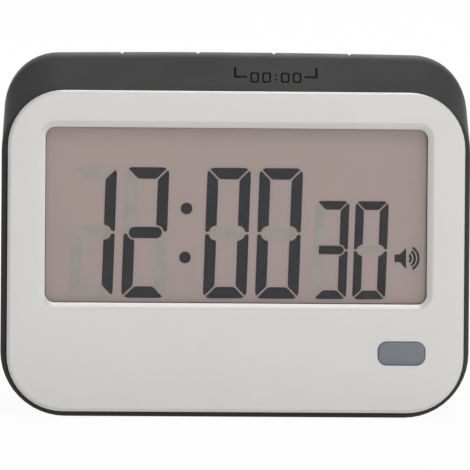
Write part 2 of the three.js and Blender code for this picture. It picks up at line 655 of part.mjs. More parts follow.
function startSwitch() {
  const half = SWITCH_SIDE / 2;
  const body = box([startPlace - half, startPlace + half], [startSwitchFront, boardFront - SEAT],
    [startHeight - half, startHeight + half]);
  const wellEnd = startSwitchFront + START_TRAVEL + 1.2;
  const well = barInDepth(PLUNGER_RADIUS + 0.2, [startSwitchFront - 1, wellEnd], startPlace, startHeight,
    16);
  return cut(body, well);
}

const startPlunger = () => barInDepth(PLUNGER_RADIUS, [startBack + SEAT, startSwitchFront + 0.8],
  startPlace, startHeight, 16);

// A crest key: cut from the housing's own skin, hollow below, with a stem and a flange behind the slot.
function crestKey(form, x) {
  const width = KEY_PITCH - KEY_GAP;
  const middle = (slotFront + slotBack) / 2;
  const depth = KEY_DEPTH - 2 * FIT;
  const high = crestTop + 2;
  const cap = common(form, slab(roundedShape(width, depth, KEY_CORNER, x, middle), [keyFoot, high]));
  const hollow = slab(roundedShape(width - 2 * KEY_WALL, depth - 2 * KEY_WALL, KEY_CORNER, x, middle),
    [keyFoot - 1, keyRoof]);
  const stem = barUp(STEM_RADIUS, [plungerTop + SEAT, keyRoof + 0.3], x, switchDepth, 16);
  const flange = box([x - width / 2 + KEY_CORNER, x + width / 2 - KEY_CORNER],
    [slotBack - FIT - KEY_WALL / 2, slotBack + KEY_FLANGE], [keyFoot, keyFoot + 0.9]);
  return join(cut(cap, hollow), stem, flange);
}

// The oval face key: a rounded cap, with a small flange above and below that keeps it in its hole.
function startStopKey() {
  const options = { depth: startBack + START_PROUD - 0.4, bevelEnabled: true, bevelThickness: 0.4,
    bevelSize: 0.4, bevelOffset: -0.4, bevelSegments: 2, curveSegments: 4 };
  const shape = roundedShape(START_WIDTH, START_HEIGHT, START_CORNER, startPlace, startHeight);
  const cap = solid(new THREE.ExtrudeGeometry(shape, options).rotateX(quarter).translate(0, startBack, 0));
  const flange = box([startPlace - 2.5, startPlace + 2.5], [startFlangeFront, startBack],
    [startHeight - START_HEIGHT / 2 - START_FLANGE, startHeight + START_HEIGHT / 2 + START_FLANGE]);
  const trimmed = common(cap, box([startPlace - START_WIDTH, startPlace + START_WIDTH], [-1, startBack],
    [startHeight - START_HEIGHT, startHeight + START_HEIGHT]));
  return join(trimmed, flange);
}

// A cell lies across the bay. Its plus end points right, or left when it is turned round.
function cell(z, turnedRound) {
  const shoulderEdge = CELL_LENGTH - NUB_LENGTH;
  const profile = [[0, 0], [CELL_RADIUS - 0.5, 0], [CELL_RADIUS, 0.5], [CELL_RADIUS, shoulderEdge - 0.6],
    [CELL_RADIUS - 0.6, shoulderEdge], [NUB_RADIUS, shoulderEdge], [NUB_RADIUS, CELL_LENGTH],
    [0, CELL_LENGTH]];
  const geometry = turned(profile, 24).rotateZ(turnedRound ? quarter : -quarter);
  const start = turnedRound ? -cellMinus : cellMinus;
  return solid(geometry.translate(start, cellDepth, z));
}

function contactTail(z) {
  return box([plateInside, plateInside + PLATE_THICKNESS], [tailEnd, cellDepth],
    [z - TAIL_WIDTH / 2, z + TAIL_WIDTH / 2]);
}

function contactEnd(z) {
  const half = PLATE_SIDE / 2;
  const face = box([plateInside, plateInside + PLATE_THICKNESS], [cellDepth - half, cellDepth + half],
    [z - half, z + half]);
  return join(face, contactTail(z));
}

function contactLink() {
  const half = PLATE_SIDE / 2;
  return box([-plateInside - PLATE_THICKNESS, -plateInside], [cellDepth - half, cellDepth + half],
    [lowerCell - half, upperCell + half]);
}

// The path of a battery spring's wire: a cone of curls with a short straight run at each end.
class SpringPath extends THREE.Curve {
  constructor(start, toward, z) {
    super();
    Object.assign(this, { start, toward, z });
    const run = 2 * SPRING_WIRE;
    this.lead = run / (Math.PI * (SPRING_BASE + SPRING_TIP) * SPRING_CURLS + 2 * run);
  }

  onCone(t) {
    const angle = 2 * Math.PI * SPRING_CURLS * t;
    const radius = SPRING_BASE + (SPRING_TIP - SPRING_BASE) * t;
    const reach = SPRING_LENGTH - 2 * SPRING_WIRE;
    return new THREE.Vector3(this.start + this.toward * (SPRING_WIRE + reach * t),
      cellDepth + radius * Math.cos(angle), this.z + radius * Math.sin(angle));
  }

  getPoint(t, target = new THREE.Vector3()) {
    const inside = THREE.MathUtils.clamp((t - this.lead) / (1 - 2 * this.lead), 0, 1);
    target.copy(this.onCone(inside));
    const end = t < this.lead ? [0, 0.01] : [1, 0.99];
    const beyond = t < this.lead ? this.lead - t : Math.max(0, t - 1 + this.lead);
    if (beyond > 0) {
      const along = this.onCone(end[0]).sub(this.onCone(end[1])).normalize();
      along.x = 0;
      target.addScaledVector(along, (beyond / this.lead) * 2 * SPRING_WIRE);
    }
    return target;
  }
}

function tube(path, radius, sides, steps) {
  const ring = [];
  for (let i = 0; i < sides; i++) {
    const angle = (2 * Math.PI * i) / sides;
    ring.push([radius * Math.cos(angle), radius * Math.sin(angle)]);
  }
  const options = { extrudePath: path, steps, bevelEnabled: false };
  return solid(new THREE.ExtrudeGeometry(polygon(ring), options));
}

const springSteps = 8 * SPRING_CURLS + 2;

function leastGap(path) {
  const points = path.getSpacedPoints(4 * springSteps);
  let least = Infinity;
  points.forEach((point, i) => points.slice(i + 20).forEach((other) => {
    least = Math.min(least, point.distanceTo(other) - 2 * SPRING_WIRE);
  }));
  return least;
}

const upperSpringPath = new SpringPath(-plateInside + SEAT, 1, upperCell);
const lowerSpringPath = new SpringPath(plateInside - SEAT, -1, lowerCell);
console.log('least gap of a battery spring to itself: ' + leastGap(upperSpringPath).toFixed(2) + ' mm');

// The door: a plate whose foot is rounded about the hinge line, with two tongues and a latch tab.
function batteryDoor() {
  const half = DOOR_THICKNESS / 2;
  const leaf = doorLeaf(0, [doorInside, backDepth]);
  const above = box([-doorHalf - 1, doorHalf + 1], [doorInside - 1, backDepth + 1],
    [hingeHeight, doorTop + 1]);
  const rounded = join(above, barAcross(half, [-doorHalf - 1, doorHalf + 1], hingeDepth, hingeHeight, 16));
  const rib = box([-bayHalf + 3, bayHalf - 3], [doorInside - 1.6, doorInside + 0.3],
    [(lowerCell + upperCell) / 2 - 0.4, (lowerCell + upperCell) / 2 + 0.4]);
  const tongues = mirrored(DOOR_TONGUE_PLACE, (x) => {
    const span = [x - DOOR_TONGUE_WIDTH / 2, x + DOOR_TONGUE_WIDTH / 2];
    const inner = doorInside - 1.3;
    return join(box(span, [inner, doorInside + 0.3], [bayLow - 0.4, bayLow + 0.7]),
      box(span, [inner, doorInside - FIT - SEAT], [doorLow - DOOR_TONGUE_REACH, bayLow]));
  });
  const latch = box([-LATCH_WIDTH / 2, LATCH_WIDTH / 2], [backDepth - 1.2, backDepth],
    [doorTop - 1, doorTop + LATCH_REACH]);
  return join(common(leaf, rounded), rib, ...tongues, latch);
}

function magnet(x) {
  const front = backDepth - 0.2 - MAGNET_THICKNESS;
  return barInDepth(MAGNET_RADIUS, [front, front + MAGNET_THICKNESS], x, rowHeight, 28);
}

const discFront = wallDepth - SEAT - BUZZER_DISC;
const buzzerDisc = () => barInDepth(BUZZER_RADIUS, [discFront, discFront + BUZZER_DISC], -BUZZER_PLACE,
  rowHeight, 28);
const ceramicFront = discFront - SEAT - CERAMIC_THICKNESS;
const buzzerCeramic = () => barInDepth(CERAMIC_RADIUS, [ceramicFront, discFront - SEAT], -BUZZER_PLACE,
  rowHeight, 24);

// The volume slide: a knob in the back pocket, a guard plate inside, and a fork round the switch's lever.
const slideSwitchBack = boardBack + SEAT + SLIDE_SWITCH_DEPTH;
const leverEnd = slideSwitchBack + LEVER_LENGTH;
const leverHalf = LEVER_SIDE / 2;

function volumeSlider() {
  const [x, z] = [SLIDE_PLACE, rowHeight];
  const [halfX, halfZ] = [SLIDE_KNOB_WIDTH / 2, SLIDE_KNOB_HEIGHT / 2];
  const inside = backDepth - SLIDE_POCKET - SLIDE_FLOOR;
  const knob = box([x - halfX, x + halfX], [inside - 0.5, backDepth - 0.4], [z - halfZ, z + halfZ]);
  const guardHalf = halfX + 2 * SLIDE_TRAVEL + 0.8;
  const guard = box([x - guardHalf, x + guardHalf], [inside - SEAT - 1, inside - SEAT],
    [z - halfZ - 1.2, z + halfZ + 1.2]);
  const arm = box([x - halfX, x + halfX], [slideSwitchBack + 0.6, inside - SEAT], [z - halfZ, z + halfZ]);
  const fork = box([x - leverHalf - FIT, x + leverHalf + FIT], [slideSwitchBack, leverEnd + FIT],
    [z - halfZ - 1, z + halfZ + 1]);
  return join(cut(arm, fork), guard, knob);
}

function slideSwitch() {
  const [halfX, halfZ] = [SLIDE_SWITCH_WIDTH / 2, SLIDE_SWITCH_HEIGHT / 2];
  const body = box([SLIDE_PLACE - halfX, SLIDE_PLACE + halfX], [boardBack + SEAT, slideSwitchBack],
    [rowHeight - halfZ, rowHeight + halfZ]);
  const reach = SLIDE_TRAVEL + leverHalf + FIT;
  const slot = box([SLIDE_PLACE - reach, SLIDE_PLACE + reach], [slideSwitchBack - 1.5, slideSwitchBack + 1],
    [rowHeight - leverHalf - FIT, rowHeight + leverHalf + FIT]);
  return cut(body, slot);
}

const slideLever = () => box([SLIDE_PLACE - leverHalf, SLIDE_PLACE + leverHalf],
  [slideSwitchBack - 1.2, leverEnd], [rowHeight - leverHalf, rowHeight + leverHalf]);

// A soldered lead: it leaves its first end sideways and meets the board square.
function lead([x0, y0, z0], [x1, z1]) {
  const end = boardBack + FIT;
  const path = new THREE.CubicBezierCurve3(
    new THREE.Vector3(x0, y0, z0),
    new THREE.Vector3((x0 + x1) / 2, y0, (z0 + z1) / 2),
    new THREE.Vector3(x1, y0, z1),
    new THREE.Vector3(x1, end, z1));
  return tube(path, WIRE_RADIUS, 6, 10);
}

const tailSide = plateInside - WIRE_RADIUS;
const leadDepth = tailEnd + 0.6;
const batteryLead = (z, turn) => lead([tailSide, leadDepth, z], [tailSide - WIRE_RUN, z + turn]);
const buzzerLeadDepth = ceramicFront - SEAT - WIRE_RADIUS;
const buzzerLead = (offset) => lead(
  [-BUZZER_PLACE + offset, buzzerLeadDepth, rowHeight - WIRE_TURN],
  [-BUZZER_PLACE + offset + WIRE_TURN, rowHeight - WIRE_TURN - WIRE_FALL]);

// Materials.
const finish = (color, roughness, metalness) =>
  new THREE.MeshStandardMaterial({ color, roughness, metalness });
const bezelGrey = finish(0xcfcecb, 0.5, 0);
const housingDark = finish(0x414141, 0.7, 0);
const keyDark = finish(0x464646, 0.65, 0);
const startGrey = finish(0x757c81, 0.5, 0);
const clear = finish(0xe8ecec, 0.05, 0);
const displayGlass = finish(0x9e928e, 0.2, 0);
const reflectorGrey = finish(0xa8a49c, 0.4, 0.2);
const holderWhite = finish(0xe2e0da, 0.6, 0);
const rubberPink = finish(0x6a5a58, 0.9, 0);
const boardGreen = finish(0x2d5a3c, 0.5, 0);
const resinBlack = finish(0x111111, 0.35, 0);
const switchBlack = finish(0x1d1d1f, 0.5, 0);
const steel = finish(0xb9bbbd, 0.3, 1);
const brass = finish(0xc6a04f, 0.3, 1);
const ceramicWhite = finish(0xd9d5cb, 0.6, 0);
const cellSleeve = finish(0x2f4a6b, 0.4, 0);
const leadRed = finish(0xa8262a, 0.5, 0);
const leadBlack = finish(0x161616, 0.5, 0);

function piece(name, body, material) {
  const mesh = new THREE.Mesh(geometryOf(body), material);
  mesh.name = name;
  return mesh;
}

function group(name, ...members) {
  const made = new THREE.Group();
  made.name = name;
  made.add(...members);
  return made;
}

const form = housingForm();
const crestNames = ['hour', 'minute', 'second'];
const crestPlace = (order) => (order - 1) * KEY_PITCH;

const leaning = group('leaning_case',
  group('front',
    piece('front_bezel', frontBezel(), bezelGrey),
    piece('window_lens', windowLens(), clear),
    piece('lcd_front_glass', lcdFrontGlass(), displayGlass),
    piece('lcd_rear_glass', lcdRearGlass(), displayGlass),
    piece('lcd_reflector', lcdReflector(), reflectorGrey),
    piece('lcd_holder', lcdHolder(), holderWhite),
    piece('zebra_strip', zebraStrip(), rubberPink)),
  group('board',
    piece('main_board', mainBoard(), boardGreen),
    piece('chip_blob', chipBlob(), resinBlack),
    piece('quartz_crystal', quartzCrystal(), steel),
    piece('board_screw_left', boardScrew(-BOARD_SCREW_PLACE), steel),
    piece('board_screw_right', boardScrew(BOARD_SCREW_PLACE), steel),
    ...crestNames.map((name, order) =>
      piece(name + '_switch', crestSwitch(crestPlace(order)), switchBlack)),
    piece('start_switch', startSwitch(), switchBlack),
    piece('slide_switch', slideSwitch(), steel),
    piece('battery_lead_plus', batteryLead(upperCell, -WIRE_TURN), leadRed),
    piece('battery_lead_minus', batteryLead(lowerCell, WIRE_TURN), leadBlack),
    piece('buzzer_lead_a', buzzerLead(-WIRE_TURN / 2), leadBlack),
    piece('buzzer_lead_b', buzzerLead(WIRE_TURN / 2), leadRed)),
  group('keys',
    ...crestNames.flatMap((name, order) => [
      piece(name + '_key', crestKey(form, crestPlace(order)), keyDark),
      piece(name + '_plunger', crestPlunger(crestPlace(order)), holderWhite),
    ]),
    piece('start_stop_key', startStopKey(), startGrey),
    piece('start_plunger', startPlunger(), holderWhite)),
  group('rear',
    piece('rear_housing', rearHousing(form), housingDark),
    piece('battery_upper', cell(upperCell, false), cellSleeve),
    piece('battery_lower', cell(lowerCell, true), cellSleeve),
    piece('contact_link', contactLink(), steel),
    piece('contact_plus', contactEnd(upperCell), steel),
    piece('contact_minus', contactEnd(lowerCell), steel),
    piece('spring_upper', tube(upperSpringPath, SPRING_WIRE, 5, springSteps), steel),
    piece('spring_lower', tube(lowerSpringPath, SPRING_WIRE, 5, springSteps), steel),
    piece('battery_door', batteryDoor(), housingDark),
    piece('magnet_left', magnet(-magnetPlace), steel),
    piece('magnet_right', magnet(magnetPlace), steel),
    piece('volume_slider', volumeSlider(), keyDark),
    piece('slide_switch_lever', slideLever(), switchBlack),
    piece('buzzer_disc', buzzerDisc(), brass),
    piece('buzzer_ceramic', buzzerCeramic(), ceramicWhite),
    piece('case_screw_left', caseScrew(-caseScrewPlace), steel),
    piece('case_screw_right', caseScrew(caseScrewPlace), steel)));

// The case leans back, and stands with its foot on the ground and its box centred over the zero point.
leaning.rotation.x = -lean;
const timer = group('kitchen_timer', leaning);
timer.updateMatrixWorld(true);
const bounds = new THREE.Box3().setFromObject(timer, true);
const middle = bounds.getCenter(new THREE.Vector3());
leaning.position.set(-middle.x, -middle.y, -bounds.min.z);

export default timer;
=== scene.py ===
"""A digital kitchen timer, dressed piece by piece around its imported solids.

Every piece is modelled flat on the leaning face, where X is right, Y is depth behind the face plate and Z
runs up the face, and is then leaned back into the frame of the solids.
"""
import json
import math
from types import SimpleNamespace

import bmesh
import bpy
from bpy.props import FloatProperty, FloatVectorProperty, PointerProperty
from bpy.types import Operator, Panel, PropertyGroup
from mathutils import Matrix, Vector


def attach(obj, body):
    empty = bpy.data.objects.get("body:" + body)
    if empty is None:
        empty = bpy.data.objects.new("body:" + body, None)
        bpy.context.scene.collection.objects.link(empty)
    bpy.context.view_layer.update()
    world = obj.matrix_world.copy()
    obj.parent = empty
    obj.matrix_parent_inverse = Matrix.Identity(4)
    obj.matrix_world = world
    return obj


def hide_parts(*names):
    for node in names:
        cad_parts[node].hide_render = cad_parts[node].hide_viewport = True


bl_info = {
    "name": "Digital kitchen timer",
    "version": (1, 0, 0),
    "blender": (4, 5, 0),
    "location": "View3D > Sidebar > Timer",
    "description": "Models the shell, keys, display, battery bay and finishes of a leaning kitchen timer",
    "category": "Object",
}

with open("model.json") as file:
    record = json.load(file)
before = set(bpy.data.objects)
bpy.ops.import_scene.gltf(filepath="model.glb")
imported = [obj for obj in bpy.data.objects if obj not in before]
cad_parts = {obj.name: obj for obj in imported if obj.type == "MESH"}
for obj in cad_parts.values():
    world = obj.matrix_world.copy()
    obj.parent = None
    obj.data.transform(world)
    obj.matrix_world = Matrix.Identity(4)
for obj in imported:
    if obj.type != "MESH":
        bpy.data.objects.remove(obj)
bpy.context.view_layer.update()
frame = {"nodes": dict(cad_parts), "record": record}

MM = 0.001
QUARTER = math.pi / 2
SAME_POINT = 1e-7
CORNER_STEPS = 12
CROWN_STEPS = 12


def mm(*values):
    """Millimetres in the scene's metres."""
    return tuple(value * MM for value in values)


# The room between pieces that meet, and the thickness of what is printed on the display.
GAP = 0.3 * MM
INK = 0.05 * MM
KEYS = ("hour", "minute", "second")
MAGNETS = ("magnet_left", "magnet_right")
CASE_SCREWS = ("case_screw_left", "case_screw_right")
BOARD_SCREWS = ("board_screw_left", "board_screw_right")
CLIP_PLACES = mm(-22, 22)
TONGUE_PLACES = mm(-17, 17)


def leaning_frame():
    """The place and lean of the face: its front middle, with depth along the inward axis of the back."""
    back = next(mount for mount in frame["record"]["mounts"] if mount["name"] == "back")
    inward = Vector(back["axis"]).normalized()
    right = Vector((1, 0, 0))
    turn = Matrix((right, inward, right.cross(inward)))
    points = [turn @ vertex.co for vertex in frame["nodes"]["front_bezel"].data.vertices]
    # The two tongues reach above the plate, so its middle comes from its widest row.
    widest = max(point.x for point in points)
    rows = [point.z for point in points if point.x > widest - 0.01 * MM]
    front = Vector((0, min(point.y for point in points), (min(rows) + max(rows)) / 2))
    return Matrix.Translation(turn.transposed() @ front) @ turn.transposed().to_4x4()


FACE = leaning_frame()
LEAN = math.atan2(-FACE[2][1], FACE[1][1])


def face_box(node):
    """Lowest and highest corner of a CAD node, measured along the leaning face."""
    straight = FACE.inverted()
    points = [straight @ vertex.co for vertex in frame["nodes"][node].data.vertices]
    lowest = Vector(min(point[axis] for point in points) for axis in range(3))
    highest = Vector(max(point[axis] for point in points) for axis in range(3))
    return lowest, highest


def middle(box):
    return (box[0] + box[1]) / 2


def about(centre, half):
    """The two places that lie equally far from a centre."""
    return centre - half, centre + half


def grown(span, by):
    """Two places moved apart, or together where the distance is negative."""
    return span[0] - by, span[1] + by


def tone(red, green, blue):
    """A colour as it looks on a screen, from 0 to 255, as scene light."""
    shades = [part / 255 for part in (red, green, blue)]
    return tuple(s / 12.92 if s <= 0.04045 else ((s + 0.055) / 1.055) ** 2.4 for s in shades)


# Sizes and colours that a user would change.

def amount(name, description, value, **kind):
    return FloatProperty(name=name, description=description, default=value, **kind)


def length(name, description, millimetres):
    return amount(name, description, millimetres * MM, unit="LENGTH", subtype="DISTANCE", precision=5)


def angle(name, description, degrees):
    return amount(name, description, math.radians(degrees), unit="ROTATION", subtype="ANGLE")


def colour(name, description, red, green, blue):
    return FloatVectorProperty(name=name, description=description, default=tone(red, green, blue), size=3,
                               min=0, max=1, subtype="COLOR")


class TimerSizes(PropertyGroup):
    """Sizes of the timer's shell, keys and door."""
    bezel_corner: length("Bezel corner", "Corner radius of the face plate", 11.1)
    bezel_round: length("Bezel edge", "Rounding of the face plate's front edge", 0.8)
    bezel_plate: length("Bezel plate", "Thickness of the face plate", 1.6)
    bezel_edge: length("Bezel rim", "Depth of the face plate's outer edge", 2.5)
    skirt_inset: length("Skirt inset", "Distance of the skirt from the plate's edge", 1.2)
    skirt_wall: length("Skirt wall", "Wall of the skirt", 1.4)
    skirt_depth: length("Skirt depth", "Depth of the skirt's end", 6.5)
    window_half: length("Window half", "Half of the window's width", 37.62)
    window_low: length("Window low", "Lower edge of the window", -10.15)
    window_top: length("Window top", "Upper edge of the window", 24.35)
    window_corner: length("Window corner", "Corner radius of the window", 1.9)
    window_lip: length("Window lip", "Width of the sloping lip around the window", 1.45)
    lip_round: length("Lip rounding", "Width of the rounding between face and lip", 0.6)
    lip_slope: angle("Lip slope", "How far the lip slopes back from the face", 30)
    rim_side: length("Rim side", "How far the housing shows beside the face plate", 1.25)
    rim_foot: length("Rim foot", "How far the housing shows below the face plate", 1.05)
    rim_round: length("Rim edge", "Rounding of the housing's front edge", 0.5)
    rim_corner: length("Rim corner", "Lower corner radius of the housing", 12.8)
    shoulder_start: length("Shoulder start", "Step from the face plate's top to the shoulder", 0.6)
    shoulder_angle: angle("Shoulder angle", "How far the shoulder slopes back", 35)
    crest_rise: length("Crest rise", "Height of the crest above the face plate", 7.5)
    crest_round: length("Crest rounding", "Rounding between shoulder and top", 3.2)
    crest_corner: length("Crest corner", "Upper corner radius of the housing", 10.4)
    crest_crown: length("Crest crown", "How far the crest bows up in its middle", 0.25)
    crest_narrows: length("Crest narrows", "How much narrower each side is at the crest", 0.75)
    back_narrows: length("Back narrows", "How much narrower each side is at the back", 1.5)
    back_falls: length("Back falls", "How much lower the top is at the back", 1.2)
    back_round: length("Back rounding", "Rounding of the housing's back edge", 1.8)
    wall: length("Wall", "Wall of the housing", 2)
    key_corner: length("Key corner", "Corner radius of a crest key", 0.9)
    key_edge: length("Key edge", "Rounding of a crest key's upper edge", 0.3)
    start_corner: length("Start key corner", "Corner radius of the oval face key", 1.6)
    start_edge: length("Start key edge", "Rounding of the oval face key", 0.4)
    door_corner: length("Door corner", "Corner radius of the battery door", 1.5)
    chamfer: length("Chamfer", "Broken edge of the pockets at the back", 0.25)


class TimerColours(PropertyGroup):
    """Colours of the timer's finishes."""
    bezel: colour("Bezel", "Light grey face plate", 202, 201, 199)
    housing: colour("Housing", "Dark soft-touch housing", 51, 51, 51)
    keys: colour("Crest keys", "Dark keys along the crest", 51, 51, 51)
    # A dark fill set in the shoulder's marks, which darkens each whole stroke.
    marks: colour("Marks", "Lacquer in the shoulder's marks", 32, 32, 32)
    start_key: colour("Start key", "Blue-grey oval key", 100, 108, 114)
    display: colour("Display", "Display behind the window", 169, 152, 147)
    segments: colour("Segments", "Figures that are switched on", 40, 42, 44)
    # Painted shade: a dark line that stands for the shadow at the window's edge.
    window_painted_shade: colour("Window painted shade", "Dark line printed round the window", 96, 90, 87)
    resting: colour("Resting segments", "Figures that are switched off", 160, 154, 147)
    sleeve: colour("Cell sleeve", "Sleeve of the battery cells", 52, 74, 104)


class TimerStage(PropertyGroup):
    """The camera and the lights."""
    distance: length("Camera distance", "From the middle of the face to the camera", 1000)
    lens: amount("Lens", "Focal length in millimetres", 389.65)
    aside: angle("Aside", "How far the camera stands to the left", 2.42)
    above: angle("Above", "How far the camera looks down on the face", 1.36)
    roll: angle("Roll", "How far the picture is turned clockwise", 0.804)
    front_light: amount("Front light", "Power of the large front lamp in watts", 5.65)
    top_light: amount("Top light", "Power of the lamp overhead in watts", 3.5)
    crest_light: amount("Crest light", "Power of the lamp behind the crest in watts", 4.8)
    side_light: amount("Side light", "Power of the right lamp in watts", 2.2)
    room_light: amount("Room light", "Strength of the light from all round", 0.235)


# Shapes.

def rounded(bm, geom, offset, steps, affect="EDGES", **more):
    bmesh.ops.bevel(bm, geom=geom, offset=offset, offset_type="OFFSET", segments=steps, profile=0.5,
                    affect=affect, material=-1, **more)


def outline(bm, depth, sides, ends, low_corner, top_corner=None, crown=0.0):
    """A rounded outline at one depth, as a closed row of wire edges whose top may be crowned."""
    top_corner = low_corner if top_corner is None else top_corner
    before = set(bm.edges)
    places = ((sides[1], ends[0]), (sides[1], ends[1]), (sides[0], ends[1]), (sides[0], ends[0]))
    corners = [bm.verts.new((x, depth, z)) for x, z in places]
    for corner, after in zip(corners, corners[1:] + corners[:1]):
        bm.edges.new((corner, after))
    rounded(bm, [corners[0], corners[3]], low_corner, CORNER_STEPS, "VERTICES")
    rounded(bm, [corners[1], corners[2]], top_corner, CORNER_STEPS, "VERTICES")
    top = [edge for edge in bm.edges if edge not in before
           and all(abs(vert.co.z - ends[1]) < SAME_POINT for vert in edge.verts)]
    top.sort(key=lambda edge: edge.calc_length())
    made = bmesh.ops.subdivide_edges(bm, edges=top[-1:], cuts=CROWN_STEPS - 1)
    half = (sides[1] - sides[0]) / 2 - top_corner
    for vert in (part for part in made["geom_inner"] if isinstance(part, bmesh.types.BMVert)):
        vert.co.z += crown * (1 - ((vert.co.x - middle(sides)) / half) ** 2)
    return [edge for edge in bm.edges if edge not in before]


def circle(bm, depth, radius, x, z, segments):
    """A round outline at one depth."""
    turn = Matrix.Translation((x, depth, z)) @ Matrix.Rotation(QUARTER, 4, "X")
    made = bmesh.ops.create_circle(bm, segments=segments, radius=radius, matrix=turn)
    return list({edge for vert in made["verts"] for edge in vert.link_edges})


def skin(bm, rows, ring=False):
    """Bridges a row of outlines and closes its ends, or joins its last outline to its first in a ring."""
    depths = {vert: vert.co.y for row in rows for edge in row for vert in edge.verts}
    # Outlines of one depth only bridge cleanly while they are drawn apart.
    apart = 50 * MM
    for index, row in enumerate(rows):
        for vert in {vert for edge in row for vert in edge.verts}:
            vert.co.y = index * apart
    for one, other in zip(rows, rows[1:]):
        bmesh.ops.bridge_loops(bm, edges=one + other)
    if ring:
        bmesh.ops.bridge_loops(bm, edges=rows[-1] + rows[0])
    else:
        for row in (rows[0], rows[-1]):
            bmesh.ops.edgeloop_fill(bm, edges=row)
    for vert, depth in depths.items():
        vert.co.y = depth
    return outward(bm)


def outward(bm):
    """Joins points that coincide and turns every face outward."""
    bmesh.ops.remove_doubles(bm, verts=bm.verts, dist=SAME_POINT)
    bmesh.ops.recalc_face_normals(bm, faces=bm.faces)
    return bm


def absorb(bm, *others):
    """Puts other meshes beside the first one's own faces."""
    for other in others:
        mesh = bpy.data.meshes.new("absorbed")
        other.to_mesh(mesh)
        other.free()
        bm.from_mesh(mesh)
        bpy.data.meshes.remove(mesh)
    return bm


def block(across, deep, up, edge=0.0, steps=2):
    """A box between two places on each axis, with its edges rounded if asked."""
    bm = bmesh.new()
    bmesh.ops.create_cube(bm, size=1)
    spans = (across, deep, up)
    bmesh.ops.scale(bm, vec=[high - low for low, high in spans], verts=bm.verts)
    bmesh.ops.translate(bm, vec=[middle(span) for span in spans], verts=bm.verts)
    if edge:
        rounded(bm, bm.edges[:], edge, steps)
    return outward(bm)


def prism(rows):
    """A closed body over rounded outlines: each row is depth, sides, ends and one or two corner radii."""
    bm = bmesh.new()
    return skin(bm, [outline(bm, *row) for row in rows])


def round_body(rows, x, z, segments=32):
    """A closed round body: each row is a depth and a radius."""
    bm = bmesh.new()
    return skin(bm, [circle(bm, depth, radius, x, z, segments) for depth, radius in rows])


def drum(deep, radius, x, z, segments=32):
    """A plain round body between two depths."""
    return round_body([(depth, radius) for depth in deep], x, z, segments)


def stood_up(bm):
    """Turns a body that was drawn in depth so that its depth runs up the face."""
    bm.transform(Matrix(((1, 0, 0, 0), (0, 0, 1, 0), (0, 1, 0, 0), (0, 0, 0, 1))))
    return outward(bm)


def linked(name, data):
    """A new object in the scene."""
    obj = bpy.data.objects.new(name, data)
    bpy.context.scene.collection.objects.link(obj)
    return obj


def carve(bm, tool, operation="DIFFERENCE"):
    """Cuts a second closed body away from the first, joins it or keeps what both share."""
    pair = []
    for name, body in (("carved", bm), ("carver", tool)):
        mesh = bpy.data.meshes.new(name)
        body.to_mesh(mesh)
        body.free()
        pair.append(linked(name, mesh))
    modifier = pair[0].modifiers.new("carve", "BOOLEAN")
    modifier.object = pair[1]
    modifier.operation = operation
    modifier.solver = "EXACT"
    modifier.use_self = True
    result = bmesh.new()
    result.from_object(pair[0], bpy.context.evaluated_depsgraph_get())
    for obj in pair:
        mesh = obj.data
        bpy.data.objects.remove(obj)
        bpy.data.meshes.remove(mesh)
    bmesh.ops.remove_doubles(result, verts=result.verts, dist=SAME_POINT)
    return result


def soften(bm, offset, steps, chosen):
    """Rounds the sharp edges that a test picks."""
    sharp = math.radians(50)
    edges = [edge for edge in bm.edges if edge.is_manifold and edge.calc_face_angle() > sharp
             and all(chosen(vert.co) for vert in edge.verts)]
    rounded(bm, edges, offset, steps, clamp_overlap=True)


def turned(profile, steps):
    """A body turned about the depth axis: the profile gives radius and depth, from pole to pole."""
    bm = bmesh.new()
    verts = [bm.verts.new((radius, depth, 0)) for radius, depth in profile]
    edges = [bm.edges.new(pair) for pair in zip(verts, verts[1:])]
    bmesh.ops.spin(bm, geom=verts + edges, cent=(0, 0, 0), axis=(0, 1, 0), angle=2 * math.pi, steps=steps,
                   use_merge=True)
    return outward(bm)


def wire(points, radius, name, resolution=4):
    """A round wire along a row of points, as a closed body."""
    curve = bpy.data.curves.new(name, "CURVE")
    curve.dimensions = "3D"
    curve.bevel_depth = radius
    curve.bevel_resolution = resolution
    curve.use_fill_caps = True
    spline = curve.splines.new("POLY")
    spline.points.add(len(points) - 1)
    for point, co in zip(spline.points, points):
        point.co = (*co, 1)
    obj = linked(name, curve)
    mesh = bpy.data.meshes.new_from_object(obj.evaluated_get(bpy.context.evaluated_depsgraph_get()))
    bm = bmesh.new()
    bm.from_mesh(mesh)
    bpy.data.objects.remove(obj)
    bpy.data.curves.remove(curve)
    bpy.data.meshes.remove(mesh)
    return outward(bm)


def place(bm, name, body, slot, material, nodes=(), crease=38):
    """Leans a finished body back into the frame and makes it a piece of the timer."""
    bm.transform(FACE)
    mesh = bpy.data.meshes.new(name)
    bm.to_mesh(mesh)
    bm.free()
    mesh.polygons.foreach_set("use_smooth", [True] * len(mesh.polygons))
    mesh.set_sharp_from_angle(angle=math.radians(crease))
    mesh.materials.append(material)
    obj = linked(name, mesh)
    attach(obj, body)
    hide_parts(*nodes)
    return obj


def shade_flat(obj):
    """Shades the wide faces of a piece flat right up to their rounded edges."""
    obj.modifiers.new("flat_shading", "WEIGHTED_NORMAL").keep_sharp = True


# Finishes.

def fill(node, sockets):
    """Sets a node's sockets by name, where an underscore stands for a space."""
    for socket, value in sockets.items():
        node.inputs[socket.replace("_", " ")].default_value = value
    return node


def shifted(shade, factor):
    return tuple(min(1, part * factor) for part in shade)


